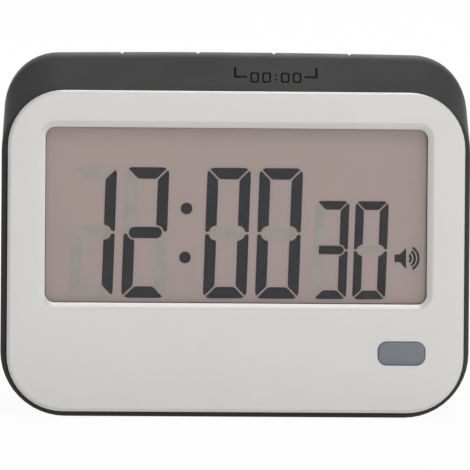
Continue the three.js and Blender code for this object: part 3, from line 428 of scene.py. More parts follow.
class Finish:
    """A material with one shader, and the texture nodes that vary its colour, gloss and relief."""

    def __init__(self, name, **sockets):
        self.material = bpy.data.materials.new(name)
        self.material.use_nodes = True
        self.tree = self.material.node_tree
        self.shader = fill(self.tree.nodes["Principled BSDF"], sockets)
        self.place = self.add("TexCoord").outputs["Object"]

    def add(self, kind, **sockets):
        return fill(self.tree.nodes.new("ShaderNode" + kind), sockets)

    def link(self, output, node, socket):
        self.tree.links.new(output, node.inputs[socket])

    def mapped(self, scale=(1, 1, 1), rotation=(0, 0, 0)):
        node = self.add("Mapping", Scale=scale, Rotation=rotation)
        self.link(self.place, node, "Vector")
        return node.outputs["Vector"]

    def grain(self, size, detail=2.0, vector=None):
        """Soft noise whose lumps are about a size across."""
        node = self.add("TexNoise", Scale=1 / size, Detail=detail)
        self.link(vector or self.place, node, "Vector")
        return node.outputs[0]

    def specks(self, spacing, size):
        """Sparse small dots: one in the middle of each cell, of that size."""
        node = self.add("TexVoronoi", Scale=1 / spacing)
        self.link(self.place, node, "Vector")
        return self.spread(node.outputs["Distance"], 1, 0, size / spacing * 0.6, size / spacing)

    def spread(self, value, low, high, start=0.35, end=0.65):
        node = self.add("MapRange", From_Min=start, From_Max=end, To_Min=low, To_Max=high)
        self.link(value, node, "Value")
        return node.outputs["Result"]

    def blend(self, factor, first, second):
        """Two shades, or outputs that give shades, mixed by a factor."""
        node = self.add("Mix")
        node.data_type = "RGBA"
        self.link(factor, node, 0)
        colour_a, colour_b, colour_out = 6, 7, 2
        for socket, shade in ((colour_a, first), (colour_b, second)):
            if isinstance(shade, bpy.types.NodeSocket):
                self.link(shade, node, socket)
            else:
                node.inputs[socket].default_value = (*shade, 1)
        return node.outputs[colour_out]

    def clouded(self, noise, shade, low, high):
        """A shade that noise varies between two shares of itself."""
        return self.blend(self.spread(noise, 0, 1), shifted(shade, low), shifted(shade, high))

    def paint(self, shade):
        self.link(shade, self.shader, "Base Color")

    def gloss(self, noise, low, high):
        self.link(self.spread(noise, low, high), self.shader, "Roughness")

    def relief(self, height, depth):
        node = self.add("Bump", Strength=1.0, Distance=depth)
        self.link(height, node, "Height")
        self.link(node.outputs["Normal"], self.shader, "Normal")


def moulded(name, shade, rough=(0.42, 0.52), mottle=0.03, relief=0.006, **sockets):
    """Moulded plastic: a fine spark-eroded skin over a slow, faint mottling."""
    finish = Finish(name, **sockets)
    fine = finish.grain(0.35 * MM, 3)
    slow = finish.grain(14 * MM)
    base = finish.clouded(slow, shade, 1 - mottle, 1 + mottle)
    finish.paint(finish.blend(finish.spread(fine, 0, 0.5), base, shifted(shade, 1 + 2 * mottle)))
    finish.gloss(fine, *rough)
    finish.relief(fine, relief * MM)
    return finish.material


def soft_touch(name, shade, dust=False):
    """Rubbery lacquer: a velvety fine grain with a little sheen, and a few specks of dust if asked."""
    finish = Finish(name, Sheen_Weight=0.34, Sheen_Roughness=0.4, Specular_IOR_Level=0.15)
    fine = finish.grain(0.22 * MM, 4)
    slow = finish.grain(9 * MM, 3)
    base = finish.clouded(slow, shade, 0.95, 1.05)
    grained = finish.blend(finish.spread(fine, 0, 1), base, shifted(shade, 1.12))
    if dust:
        grained = finish.blend(finish.specks(11 * MM, 0.28 * MM), grained, shifted(shade, 2.2))
    finish.paint(grained)
    finish.gloss(slow, 0.5, 0.6)
    finish.relief(fine, 0.008 * MM)
    return finish.material


def metal(name, shade, rough=(0.25, 0.42), along=(1, 12, 12)):
    """Plated or drawn metal with fine lines and a slow tarnish."""
    finish = Finish(name, Metallic=1.0)
    lines = finish.grain(1.6 * MM, 3, finish.mapped(scale=along))
    finish.paint(finish.clouded(finish.grain(4 * MM, 3), shade, 0.86, 1.04))
    finish.gloss(lines, *rough)
    finish.relief(lines, 0.004 * MM)
    return finish.material


def clear_sheet(name):
    """The clear window: polished, see-through, with faint smears in its gloss."""
    finish = Finish(name, Alpha=0.05, Specular_IOR_Level=0.5)
    smear = finish.grain(7 * MM, 4)
    finish.paint(finish.blend(finish.spread(smear, 0, 1), (0.06, 0.06, 0.06), (0.09, 0.09, 0.09)))
    finish.gloss(smear, 0.03, 0.09)
    return finish.material


def display_sheet(name, shade):
    """The display's ground: a fine brushed grain that runs across, with a slow change of tone."""
    finish = Finish(name, Specular_IOR_Level=0.3)
    lines = finish.grain(0.9 * MM, 3, finish.mapped(scale=(6, 1, 1)))
    cloud = finish.grain(18 * MM)
    base = finish.clouded(cloud, shade, 0.965, 1.035)
    finish.paint(finish.blend(finish.spread(lines, 0, 0.35), base, shifted(shade, 1.08)))
    finish.gloss(cloud, 0.35, 0.5)
    return finish.material


def clouded_tone(name, shade, rough=(0.35, 0.5), shine=0.25):
    """Ink, the marks' dark fill, liquid crystal, lead sleeves and the painted shade round the window: a
    close, slightly clouded tone.
    """
    finish = Finish(name, Specular_IOR_Level=shine)
    cloud = finish.grain(2.5 * MM, 3)
    finish.paint(finish.clouded(cloud, shade, 0.93, 1.07))
    finish.gloss(cloud, *rough)
    return finish.material


def board_laminate(name):
    """Circuit board: green lacquer over lighter copper runs and a woven glass ground."""
    finish = Finish(name, Coat_Weight=0.2, Coat_Roughness=0.2)
    runs = finish.add("TexBrick", Scale=190, Mortar_Size=0.03)
    finish.link(finish.mapped(rotation=(QUARTER - LEAN, 0, 0)), runs, "Vector")
    weave = finish.grain(0.5 * MM)
    green = finish.blend(finish.spread(weave, 0, 1), tone(38, 82, 52), tone(46, 94, 60))
    finish.paint(finish.blend(runs.outputs["Fac"], green, tone(78, 122, 74)))
    finish.gloss(weave, 0.3, 0.45)
    finish.relief(runs.outputs["Fac"], 0.02 * MM)
    return finish.material


def cell_sleeve(name, shade, band):
    """A cell's printed sleeve: a satin body with a bright band from one place to the plus end."""
    finish = Finish(name, Coat_Weight=0.3, Coat_Roughness=0.15)
    split = finish.add("SeparateXYZ")
    finish.link(finish.place, split, "Vector")
    bright = finish.spread(split.outputs["X"], 0, 1, *band)
    cloud = finish.grain(3 * MM, 3)
    body = finish.clouded(cloud, shade, 0.92, 1.08)
    finish.paint(finish.blend(bright, body, tone(196, 158, 96)))
    finish.gloss(cloud, 0.3, 0.42)
    return finish.material


# The timer's pieces.

def spots(names):
    """Where round CAD nodes stand: the depth of each one's front, and its middle across and up the face."""
    for box in map(face_box, names):
        centre = middle(box)
        yield box[0].y, centre.x, centre.z


def measures(context):
    """Heights, depths and widths that follow from the sizes and the solids."""
    size = context.scene.timer_sizes
    housing, bezel = face_box("rear_housing"), face_box("front_bezel")
    at = SimpleNamespace(half=bezel[1].x, rim_front=housing[0].y, rim_half=housing[1].x, back=housing[1].y,
                         bezel_low=bezel[0].z, bezel_top=-bezel[0].z)
    at.rim_depth = at.rim_front + size.rim_round
    at.shoulder_low = at.bezel_top + size.shoulder_start
    at.crest_top = at.bezel_top + size.crest_rise
    at.crest_centre = at.crest_top - size.crest_round
    shoulder_top = at.crest_centre + size.crest_round * math.sin(size.shoulder_angle)
    shoulder_end = at.rim_depth + (shoulder_top - at.shoulder_low) * math.tan(size.shoulder_angle)
    at.crest_depth = shoulder_end + size.crest_round * math.cos(size.shoulder_angle)
    at.back_top = at.crest_top - size.back_falls
    at.key_front = at.crest_depth - GAP
    cell_room, leaf_lap, leaf_thick = mm(0.7, 1.3, 1.6)
    at.bay_low = face_box("battery_lower")[0].z - cell_room
    at.bay_top = face_box("battery_upper")[1].z + cell_room
    at.leaf_low, at.leaf_top = at.bay_low - leaf_lap, at.bay_top + leaf_lap
    at.leaf_inside = at.back - leaf_thick
    return at


def foot_height(size, at, depth):
    """The slanted foot: level with the ground once the case leans back."""
    return at.bezel_low - size.rim_foot + (depth - at.rim_depth) * math.tan(LEAN)


def housing_rows(bm, size, at):
    """The housing's outer outlines from its front edge over the shoulder and crest to its back."""
    rows = []

    def add(depth, half, top, top_corner, inset=0.0, crown=0.0):
        ends = (foot_height(size, at, depth) + inset, top)
        rows.append(outline(bm, depth, about(0, half), ends, size.rim_corner - inset, top_corner, crown))

    rim_steps, crest_steps, back_steps = 6, 10, 8
    for step in range(rim_steps + 1):
        turn = QUARTER * step / rim_steps
        inset = size.rim_round * (1 - math.sin(turn))
        depth = at.rim_front + size.rim_round * (1 - math.cos(turn))
        slope = (at.rim_depth - depth) / math.tan(size.shoulder_angle)
        add(depth, at.rim_half - inset, at.shoulder_low - slope, size.bezel_corner + size.rim_side - inset,
            inset)
    for step in range(crest_steps + 1):
        turn = size.shoulder_angle + (QUARTER - size.shoulder_angle) * step / crest_steps
        depth = at.crest_depth - size.crest_round * math.cos(turn)
        share = (depth - at.rim_depth) / (at.crest_depth - at.rim_depth)
        add(depth, at.rim_half - size.crest_narrows * share,
            at.crest_centre + size.crest_round * math.sin(turn), size.crest_corner, crown=size.crest_crown)
    for step in range(back_steps + 1):
        turn = QUARTER * step / back_steps
        inset = size.back_round * (1 - math.cos(turn))
        depth = at.back - size.back_round * (1 - math.sin(turn))
        add(depth, at.rim_half - size.back_narrows - inset, at.back_top - inset, size.crest_corner - inset,
            inset, size.crest_crown)
    return rows


def housing_form(size, at):
    """The housing's outer form as one closed body."""
    bm = bmesh.new()
    return skin(bm, housing_rows(bm, size, at))


def housing_shell(size, at):
    """The outer form with the room inside it and the opening that takes the bezel's skirt."""
    bm = bmesh.new()
    rows = housing_rows(bm, size, at)[::-1]
    # A narrow step round the face plate leaves a dark groove beside it.
    groove, groove_corner, groove_depth = mm(0.2, 0.15, 0.4)
    half, ends = at.half + groove, (at.bezel_low - groove, at.bezel_top - GAP)
    step = at.rim_front + groove_depth
    rows += [outline(bm, depth, about(0, half), ends, size.bezel_corner + groove_corner)
             for depth in (at.rim_front, step)]
    gap = size.skirt_inset - GAP
    rows += [outline(bm, depth, about(0, at.half - gap), about(0, at.bezel_top - gap),
                     size.bezel_corner - gap) for depth in (step, size.skirt_depth)]
    flare, flare_narrows, flare_falls = mm(1.7, 0.5, 2.8)
    for depth, narrows, top in (
            (size.skirt_depth + flare, flare_narrows, at.crest_top - flare_falls),
            (at.crest_depth, size.crest_narrows, at.crest_top - size.wall),
            (at.back - size.wall, size.back_narrows, at.back_top - size.wall)):
        low = foot_height(size, at, depth) + size.wall / math.cos(LEAN)
        rows.append(outline(bm, depth, about(0, at.rim_half - size.wall - narrows), (low, top),
                            size.rim_corner - size.wall, size.crest_corner - size.wall))
    return skin(bm, rows)


def flared(back, floor, sides, ends, corner, chamfer):
    """A pocket's cutter with a broken edge where it meets the back."""
    wide = (grown(sides, chamfer), grown(ends, chamfer), corner + chamfer)
    return prism([(floor, sides, ends, corner), (back - chamfer, sides, ends, corner), (back, *wide),
                  (back + MM, *wide)])


def flared_round(back, floor, radius, x, z, chamfer, segments=32):
    """A round pocket's cutter with a broken edge where it meets the back."""
    return round_body([(floor, radius), (back - chamfer, radius), (back, radius + chamfer),
                       (back + MM, radius + chamfer)], x, z, segments)


def zero(x, foot, low, high):
    """One plain nought as a closed ring, from its left edge and its foot."""
    wide, tall, corner, stroke = mm(1.75, 2.5, 0.5, 0.38)
    bm = bmesh.new()
    rows = []
    for inset, heights in ((0, (low, high)), (stroke, (high, low))):
        rows += [outline(bm, height, grown((x, x + wide), -inset), grown((foot, foot + tall), -inset),
                         corner - inset / 2) for height in heights]
    return stood_up(skin(bm, rows, ring=True))


def corner_mark(corner, way, low, high):
    """One angle below a key, from its corner towards the other mark."""
    foot, head, reach, stroke = mm(2.54, 5.02, 2.6, 0.5)
    bm = bmesh.new()
    places = ((0, foot), (reach, foot), (reach, foot + stroke), (stroke, foot + stroke), (stroke, head),
              (0, head))
    face = bm.faces.new([bm.verts.new((corner + way * x, y, low)) for x, y in places])
    raised = bmesh.ops.extrude_face_region(bm, geom=[face])["geom"]
    bmesh.ops.translate(bm, vec=(0, 0, high - low),
                        verts=[part for part in raised if isinstance(part, bmesh.types.BMVert)])
    return outward(bm)


def shoulder_marks(size, at, low, high):
    """The corner marks below two keys and the plain noughts between them, from one height to another."""
    left, right = mm(-0.55, 16.02)
    marks = absorb(corner_mark(left, 1, low, high), corner_mark(right, -1, low, high))
    half_row, foot, colon, dot = mm(5.06, 1.38, 4.85, 0.42)
    start = (left + right) / 2 - half_row
    for x in mm(0, 2.35, 6.02, 8.37):
        absorb(marks, zero(start + x, foot, low, high))
    for up in mm(0.55, 1.55):
        absorb(marks, block((start + colon, start + colon + dot), (foot + up, foot + up + dot), (low, high)))
    across, along = math.sin(size.shoulder_angle), math.cos(size.shoulder_angle)
    marks.transform(Matrix(((1, 0, 0, 0), (0, across, -along, at.rim_depth),
                            (0, along, across, at.shoulder_low), (0, 0, 0, 1))))
    return outward(marks)


class TIMER_OT_housing(Operator):
    """Models the dark housing: rim, shoulder, crest, key slot, and the bays and pockets at its back"""
    bl_idname = "timer.housing"
    bl_label = "Housing"

    def execute(self, context):
        size, at, colours = context.scene.timer_sizes, measures(context), context.scene.timer_colours
        plus, upper = face_box("contact_plus"), face_box("battery_upper")
        at.bay_half, at.bay_front = plus[1].x + 0.15 * MM, upper[0].y - GAP
        at.slot_half = face_box("second_key")[1].x + 0.55 * MM
        at.slot_deep = (at.key_front - GAP, face_box("hour_key")[1].y - MM)
        shell = carve(housing_shell(size, at), self.supports(at), "UNION")
        for tool in (self.rooms(size, at), *self.latch_rooms(size, at),
                     shoulder_marks(size, at, *mm(-0.35, 0.6)), *self.key_notches(size, at)):
            shell = carve(shell, tool)
        above, slack = mm(37.4, 0.1)
        slot_low, slot_high = grown(at.slot_deep, slack)
        soften(shell, 0.22 * MM, 2, lambda co: co.z > above and abs(co.x) < at.slot_half + slack
               and slot_low < co.y < slot_high)
        shade_flat(place(shell, "housing", "case", "housing_plastic",
                         soft_touch("housing_soft_touch", colours.housing, dust=True), ["rear_housing"]))
        # A dark fill deep in the marks' grooves darkens each whole stroke.
        place(shoulder_marks(size, at, *mm(-0.34, -0.1)), "shoulder_marks_dark_fill", "case", "housing_plastic",
              clouded_tone("marks_dark_fill", colours.marks, (0.7, 0.85), 0.03))
        return {"FINISHED"}

    def supports(self, at):
        """The bay's walls, the magnets' cups, the screws' posts and the slide's guide, inside the back."""
        end, wall, over = at.back - GAP, *mm(1.4, 3)
        added = block(about(0, at.bay_half + wall), (at.bay_front - wall, end),
                      (at.bay_low - wall, at.bay_top + over))
        cup, cup_floor, post, post_end = mm(6.8, 1.5, 2.8, 11.3)
        for front, x, z in spots(MAGNETS):
            absorb(added, drum((front - cup_floor, end), cup, x, z))
        for _, x, z in spots(CASE_SCREWS):
            absorb(added, drum((post_end, end), post, x, z, 24))
        knob = middle(face_box("volume_slider"))
        guide_half, guide_rise, guide_depth = mm(7.5, 4.4, 3.2)
        return absorb(added, block(about(knob.x, guide_half), (at.back - guide_depth, end),
                                   about(knob.z, guide_rise)))

    def rooms(self, size, at):
        """The rooms for cells, door, magnets, screws, sound, slide, keys and the bezel's top tongues."""
        back, edge = at.back, size.chamfer
        cuts = block(about(0, at.bay_half), (at.bay_front, back + MM), (at.bay_low, at.bay_top))
        under, leaf_corner = mm(0.15, 0.35)
        absorb(cuts, flared(back, at.leaf_inside - under, about(0, face_box("battery_door")[1].x + GAP),
                            grown((at.leaf_low, at.leaf_top), GAP), leaf_corner, edge))
        half, deep, below, above = mm(3.3, 5.1, 2.2, 2)
        for side in TONGUE_PLACES:
            absorb(cuts, block(about(side, half), (back - deep, at.leaf_inside),
                               (at.leaf_low - below, at.bay_low + above)))
        tail, tail_deep = mm(1.5, 2.4)
        for cell in ("battery_upper", "battery_lower"):
            absorb(cuts, block((face_box("contact_plus")[0].x - GAP, at.bay_half),
                               (at.bay_front - tail_deep, at.bay_front + MM),
                               about(middle(face_box(cell)).z, tail)))
        cup, well, well_floor = mm(5.15, 2, 18.3)
        for front, x, z in spots(MAGNETS):
            absorb(cuts, flared_round(back, front - under, cup, x, z, edge, 48))
        for _, x, z in spots(CASE_SCREWS):
            absorb(cuts, flared_round(back, well_floor, well, x, z, edge))
        buzzer, around = middle(face_box("buzzer_disc")), 6
        hole, hole_edge, ring = mm(0.8, 0.2, 3.6)
        for step in range(around + 1):
            # The last hole lies in the middle of the ring.
            turn, out = step * math.pi / 3, ring if step < around else 0
            absorb(cuts, flared_round(back, back - size.wall - MM, hole, buzzer.x + out * math.cos(turn),
                                      buzzer.z + out * math.sin(turn), hole_edge, 20))
        knob = middle(face_box("volume_slider"))
        dish_half, dish_rise, dish_deep, dish_corner = mm(6.3, 3.2, 1.8, 1.5)
        absorb(cuts, flared(back, back - dish_deep, about(knob.x, dish_half), about(knob.z, dish_rise),
                            dish_corner, edge))
        slit_half, slit_rise, slit_deep = mm(4.6, 1.9, 4.8)
        absorb(cuts, block(about(knob.x, slit_half), (back - slit_deep, back - MM),
                           about(knob.z, slit_rise)))
        absorb(cuts, stood_up(prism([(z, about(0, at.slot_half), at.slot_deep, size.key_corner + GAP)
                                     for z in (face_box("hour_key")[0].z - MM, at.crest_top + 2 * MM)])))
        for side in CLIP_PLACES:
            absorb(cuts, block(about(side, 4.8 * MM), mm(5.1, 7.5), mm(30, 32.5)))
        return cuts

    def latch_rooms(self, size, at):
        """The room for the door's latch tab, and the thumb notch above it."""
        half, above, tab_deep, corner = mm(5.3, 1.9, 1.5, 0.3)
        thumb, thumb_above, thumb_deep = mm(4.7, 2.1, 1.1)
        return (flared(at.back, at.back - tab_deep, about(0, half), (at.leaf_top - MM, at.leaf_top + above),
                       corner, size.chamfer),
                flared_round(at.back, at.back - thumb_deep, thumb, 0, at.leaf_top + thumb_above,
                             size.chamfer, 48))

    def key_notches(self, size, at):
        """The small rounded notches where the gaps beside the keys run out over the front of the crest."""
        boxes = [face_box(name + "_key") for name in KEYS]
        half_gap = (boxes[1][0].x - boxes[0][1].x) / 2
        start, radius, above, crest_end = mm(6, 0.38, 0.1, 11)
        for gap in (boxes[0][0].x - half_gap, *(box[1].x + half_gap for box in boxes)):
            top = at.crest_top + size.crest_crown * (1 - (gap / (at.rim_half - crest_end)) ** 2)
            yield drum((start, at.slot_deep[0] + MM), radius, gap, top + above, 24)


class TIMER_OT_bezel(Operator):
    """Models the light face plate with its rounded edge, window lip, skirt, screw posts and top tongues"""
    bl_idname = "timer.bezel"
    bl_label = "Face plate"

    def execute(self, context):
        size, at = context.scene.timer_sizes, measures(context)
        bm = carve(self.plate(size, at), self.key_hole(size))
        place(carve(bm, self.fittings(size), "UNION"), "bezel", "case", "bezel_plastic",
              moulded("bezel_grey", context.scene.timer_colours.bezel, (0.3, 0.36), mottle=0.012,
                      relief=0.003, Specular_IOR_Level=0.75), ["front_bezel"])
        return {"FINISHED"}

    def plate(self, size, at):
        """The plate, its window and its skirt as one ring of outlines."""
        bm = bmesh.new()
        rows = []

        def plate_row(depth, inset):
            rows.append(outline(bm, depth, about(0, at.half - inset), about(0, at.bezel_top - inset),
                                size.bezel_corner - inset))

        def window_row(depth, outset):
            rows.append(outline(bm, depth, about(0, size.window_half + outset),
                                grown((size.window_low, size.window_top), outset),
                                size.window_corner + outset))

        plate_row(size.bezel_edge, size.skirt_inset)
        plate_row(size.bezel_edge, 0)
        edge_steps, lip_steps = 8, 6
        for step in range(edge_steps + 1):
            turn = QUARTER * (1 - step / edge_steps)
            plate_row(size.bezel_round * (1 - math.cos(turn)), size.bezel_round * (1 - math.sin(turn)))
        bend = size.lip_round / math.sin(size.lip_slope)
        for step in range(lip_steps + 1):
            turn = size.lip_slope * step / lip_steps
            window_row(bend * (1 - math.cos(turn)), size.window_lip - bend * math.sin(turn))
        slope_end = (bend * (1 - math.cos(size.lip_slope))
                     + (size.window_lip - size.lip_round) * math.tan(size.lip_slope))
        window_row(slope_end - 0.08 * MM, 0.09 * MM)
        window_row(slope_end, 0)
        lens_front, lens_room = face_box("window_lens")[0].y - 0.15 * MM, 1.7 * MM
        window_row(lens_front, 0)
        window_row(lens_front, lens_room)
        window_row(size.bezel_plate, lens_room)
        inner = size.skirt_inset + size.skirt_wall
        plate_row(size.bezel_plate, inner)
        plate_row(size.skirt_depth, inner)
        plate_row(size.skirt_depth, size.skirt_inset)
        return skin(bm, rows, ring=True)

    def key_hole(self, size):
        """The hole that the face key comes through, with a broken front edge."""
        low, high = face_box("start_stop_key")
        spot, edge, through = middle((low, high)), *mm(0.1, 3)
        sides = about(spot.x, high.x - spot.x + 0.2 * MM)
        ends = about(spot.z, (high.z - low.z) / 2 - GAP)
        corner = size.start_corner + 0.2 * MM
        wide = (grown(sides, edge), grown(ends, edge), corner + edge)
        return prism([(-MM, *wide), (0, *wide), (edge, sides, ends, corner), (through, sides, ends, corner)])

    def fittings(self, size):
        """The screw posts and the two tongues at the top."""
        posts = bmesh.new()
        wide, narrow = mm(2, 1.7)
        for names, end in ((BOARD_SCREWS, 7.45 * MM), (CASE_SCREWS, 11 * MM)):
            for _, x, z in spots(names):
                absorb(posts, round_body([(size.bezel_plate - GAP, wide), (end - GAP, wide), (end, narrow)],
                                         x, z, 24))
        for side in CLIP_PLACES:
            absorb(posts, block(about(side, 4.5 * MM), mm(5.4, 6.5), mm(29.7, 32.17)))
        return posts


class TIMER_OT_window(Operator):
    """Models the clear window sheet with broken edges, and a dark line of painted shade on its back that
    stands for the shadowed edge of the window
    """
    bl_idname = "timer.window"
    bl_label = "Window"

    def execute(self, context):
        size = context.scene.timer_sizes
        low, high = face_box("window_lens")
        corner, edge = size.window_corner + 1.4 * MM, 0.15 * MM
        place(prism([(depth, grown((low.x, high.x), -inset), grown((low.z, high.z), -inset), corner - inset)
                     for depth, inset in ((low.y, edge), (low.y + edge, 0), (high.y - edge, 0),
                                          (high.y, edge))]),
              "window", "case", "clear_lens", clear_sheet("window_clear"), ["window_lens"])
        # A dark line of painted shade on the window's back stands for the shadowed gap at the window's sides
        # and foot.
        place(self.painted_shade_line(size, high.y), "window_painted_shade", "case", "clear_lens",
              clouded_tone("window_painted_shade", context.scene.timer_colours.window_painted_shade))
        return {"FINISHED"}

    def painted_shade_line(self, size, depth):
        """The line of painted shade down the window's sides and along its foot, whose top lies behind the
        bezel.
        """
        line, hidden, thick, top_outset = mm(0.14, 0.9, 0.03, 0.3)
        bm = bmesh.new()
        rows = []
        for at, outset in ((depth, hidden), (depth, -line), (depth + thick, -line), (depth + thick, hidden)):
            ends = (size.window_low - outset, size.window_top + max(outset, top_outset))
            rows.append(outline(bm, at, about(0, size.window_half + outset), ends,
                                size.window_corner + outset))
        return skin(bm, rows, ring=True)


class TIMER_OT_crest_keys(Operator):
    """Cuts the three crest keys from the housing's own form and rounds their upper edges"""
    bl_idname = "timer.crest_keys"
    bl_label = "Crest keys"

    def execute(self, context):
        size, at = context.scene.timer_sizes, measures(context)
        material = soft_touch("key_soft_touch", context.scene.timer_colours.keys)
        wall, foot, above, hollow_deep, stem = mm(1.3, 2.3, 2, 5.1, 1.7)
        rounded_above = 37 * MM
        roof = at.back_top - wall
        for name in KEYS:
            low, high = face_box(name + "_key")
            sides, depth = (low.x, high.x), (at.key_front, high.y - wall)
            cap = stood_up(prism([(z, sides, depth, size.key_corner)
                                  for z in (low.z + foot, at.crest_top + above)]))
            key = carve(housing_form(size, at), cap, "INTERSECT")
            soften(key, size.key_edge, 3, lambda co: co.z > rounded_above)
            key = carve(key, stood_up(prism([(z, grown(sides, -wall), grown(depth, -wall), size.key_corner)
                                             for z in (at.crest_top - hollow_deep, roof)])))
            plunger = face_box(name + "_plunger")
            spot = middle(plunger)
            absorb(key, stood_up(drum((plunger[1].z + 0.15 * MM, roof + GAP), stem, spot.x, spot.y, 24)))
            shade_flat(place(key, name + "_cap", name + "_key", "key_plastic", material, [name + "_key"]))
        return {"FINISHED"}


class TIMER_OT_start_key(Operator):
    """Models the oval face key with its soft edge, faint dome and keeper flange"""
    bl_idname = "timer.start_key"
    bl_label = "Start key"

    def execute(self, context):
        size = context.scene.timer_sizes
        low, high = face_box("start_stop_key")
        spot = middle((low, high))
        sides = about(spot.x, high.x - spot.x + 0.13 * MM)
        ends = about(spot.z, (high.z - low.z) / 2 - 0.37 * MM)
        rows = [(high.y, 0), (low.y + size.start_edge, 0)]
        edge_steps, dome = 6, mm(0.03, 1)
        for step in range(1, edge_steps + 1):
            turn = QUARTER * step / edge_steps
            rows.append((low.y + size.start_edge * (1 - math.sin(turn)),
                         size.start_edge * (1 - math.cos(turn))))
        rows.append((low.y - dome[0], dome[1]))
        bm = prism([(depth, grown(sides, -inset), grown(ends, -inset), size.start_corner - inset)
                    for depth, inset in rows])
        flange_half, flange_thick = mm(2.5, 0.9)
        absorb(bm, block(about(spot.x, flange_half), (high.y - flange_thick, high.y), (low.z, high.z)))
        place(bm, "start_cap", "start_stop_key", "start_key_plastic",
              moulded("start_key_grey", context.scene.timer_colours.start_key, (0.38, 0.48), 0.02),
              ["start_stop_key"])
        return {"FINISHED"}


class Figure:
    """The seven bars of one size of figure, drawn from its lower left corner and slanted."""

    def __init__(self, width, height, strokes, gap, bar, corner):
        self.width, self.height, self.gap = width, height, gap
        self.upright, self.level = strokes
        self.bar, self.corner = bar, corner

    def depth_edges(self, bm):
        """The edges that run in depth."""
        return [edge for edge in bm.edges if abs(edge.verts[0].co.y - edge.verts[1].co.y) > INK / 2]

    def mitred(self, across, up, cuts):
        """A bar with its ends cut at 45 degrees: each cut is a corner and the way that is cut away."""
        bm = block(across, (0, INK), up)
        for (x, z), (away_x, away_z) in cuts:
            away = Vector((away_x, 0, away_z)).normalized()
            cut = bmesh.ops.bisect_plane(bm, geom=bm.verts[:] + bm.edges[:] + bm.faces[:],
                                         plane_co=Vector((x, 0, z)) - away * self.gap / 2, plane_no=away,
                                         clear_outer=True)
            edges = [part for part in cut["geom_cut"] if isinstance(part, bmesh.types.BMEdge)]
            bmesh.ops.edgeloop_fill(bm, edges=edges)
        return outward(bm)

    def middle_bar(self, grow=0.0, square_left=False):
        """The level bar in the middle with round ends, or a cutter for the room round it."""
        half, rise = self.bar[0] / 2 + grow, self.bar[1] / 2 + grow
        bm = block(about(self.width / 2, half), (-INK, 2 * INK) if grow else (0, INK),
                   about(self.height / 2, rise))
        edges = self.depth_edges(bm)
        right = [edge for edge in edges if edge.verts[0].co.x > self.width / 2]
        left = [edge for edge in edges if edge not in right]
        full, slight = 0.995, 0.35
        for ends, share in ((right, full), (left, slight if square_left else full)):
            rounded(bm, ends, rise * share, 8)
        return outward(bm)

    def bar_of(self, letter, square_left):
        """One bar by its letter: a at the top, then clockwise to f, and g in the middle."""
        width, height, beyond, room = self.width, self.height, 0.2 * MM, 0.7 * self.gap
        if letter == "g":
            return self.middle_bar(square_left=square_left)
        if letter in "ad":
            edge, sign = (height, 1) if letter == "a" else (0, -1)
            up = (height - self.level, height + beyond) if letter == "a" else (-beyond, self.level)
            bm = self.mitred((0, width), up, [((0, edge), (-1, -sign)), ((width, edge), (1, -sign))])
        else:
            left = letter in "fe"
            across = (-beyond, self.upright) if left else (width - self.upright, width + beyond)
            side, sign = (0, 1) if left else (width, -1)
            up, edge, end = (((height / 2 + room, height), height, 1) if letter in "fb" else
                             ((0, height / 2 - room), 0, -1))
            bm = carve(self.mitred(across, up, [((side, edge), (sign, end))]), self.middle_bar(self.gap))
        field = prism([(depth, (0, width), (0, height), self.corner) for depth in (-INK, 2 * INK)])
        bm = carve(bm, field, "INTERSECT")
        sharp = math.radians(25)
        rounded(bm, [edge for edge in self.depth_edges(bm) if edge.is_manifold
                     and edge.calc_face_angle() > sharp], 0.12 * self.upright, 3)
        return outward(bm)

    def drawn(self, letters, x, z, square_left):
        """The bars of those letters, slanted and set at a place on the display."""
        whole = absorb(bmesh.new(), *(self.bar_of(letter, square_left) for letter in letters))
        slant, shear = math.radians(1.7), Matrix.Identity(4)
        shear[0][2] = math.tan(slant)
        whole.transform(Matrix.Translation((x, 0, z)) @ shear)
        return whole


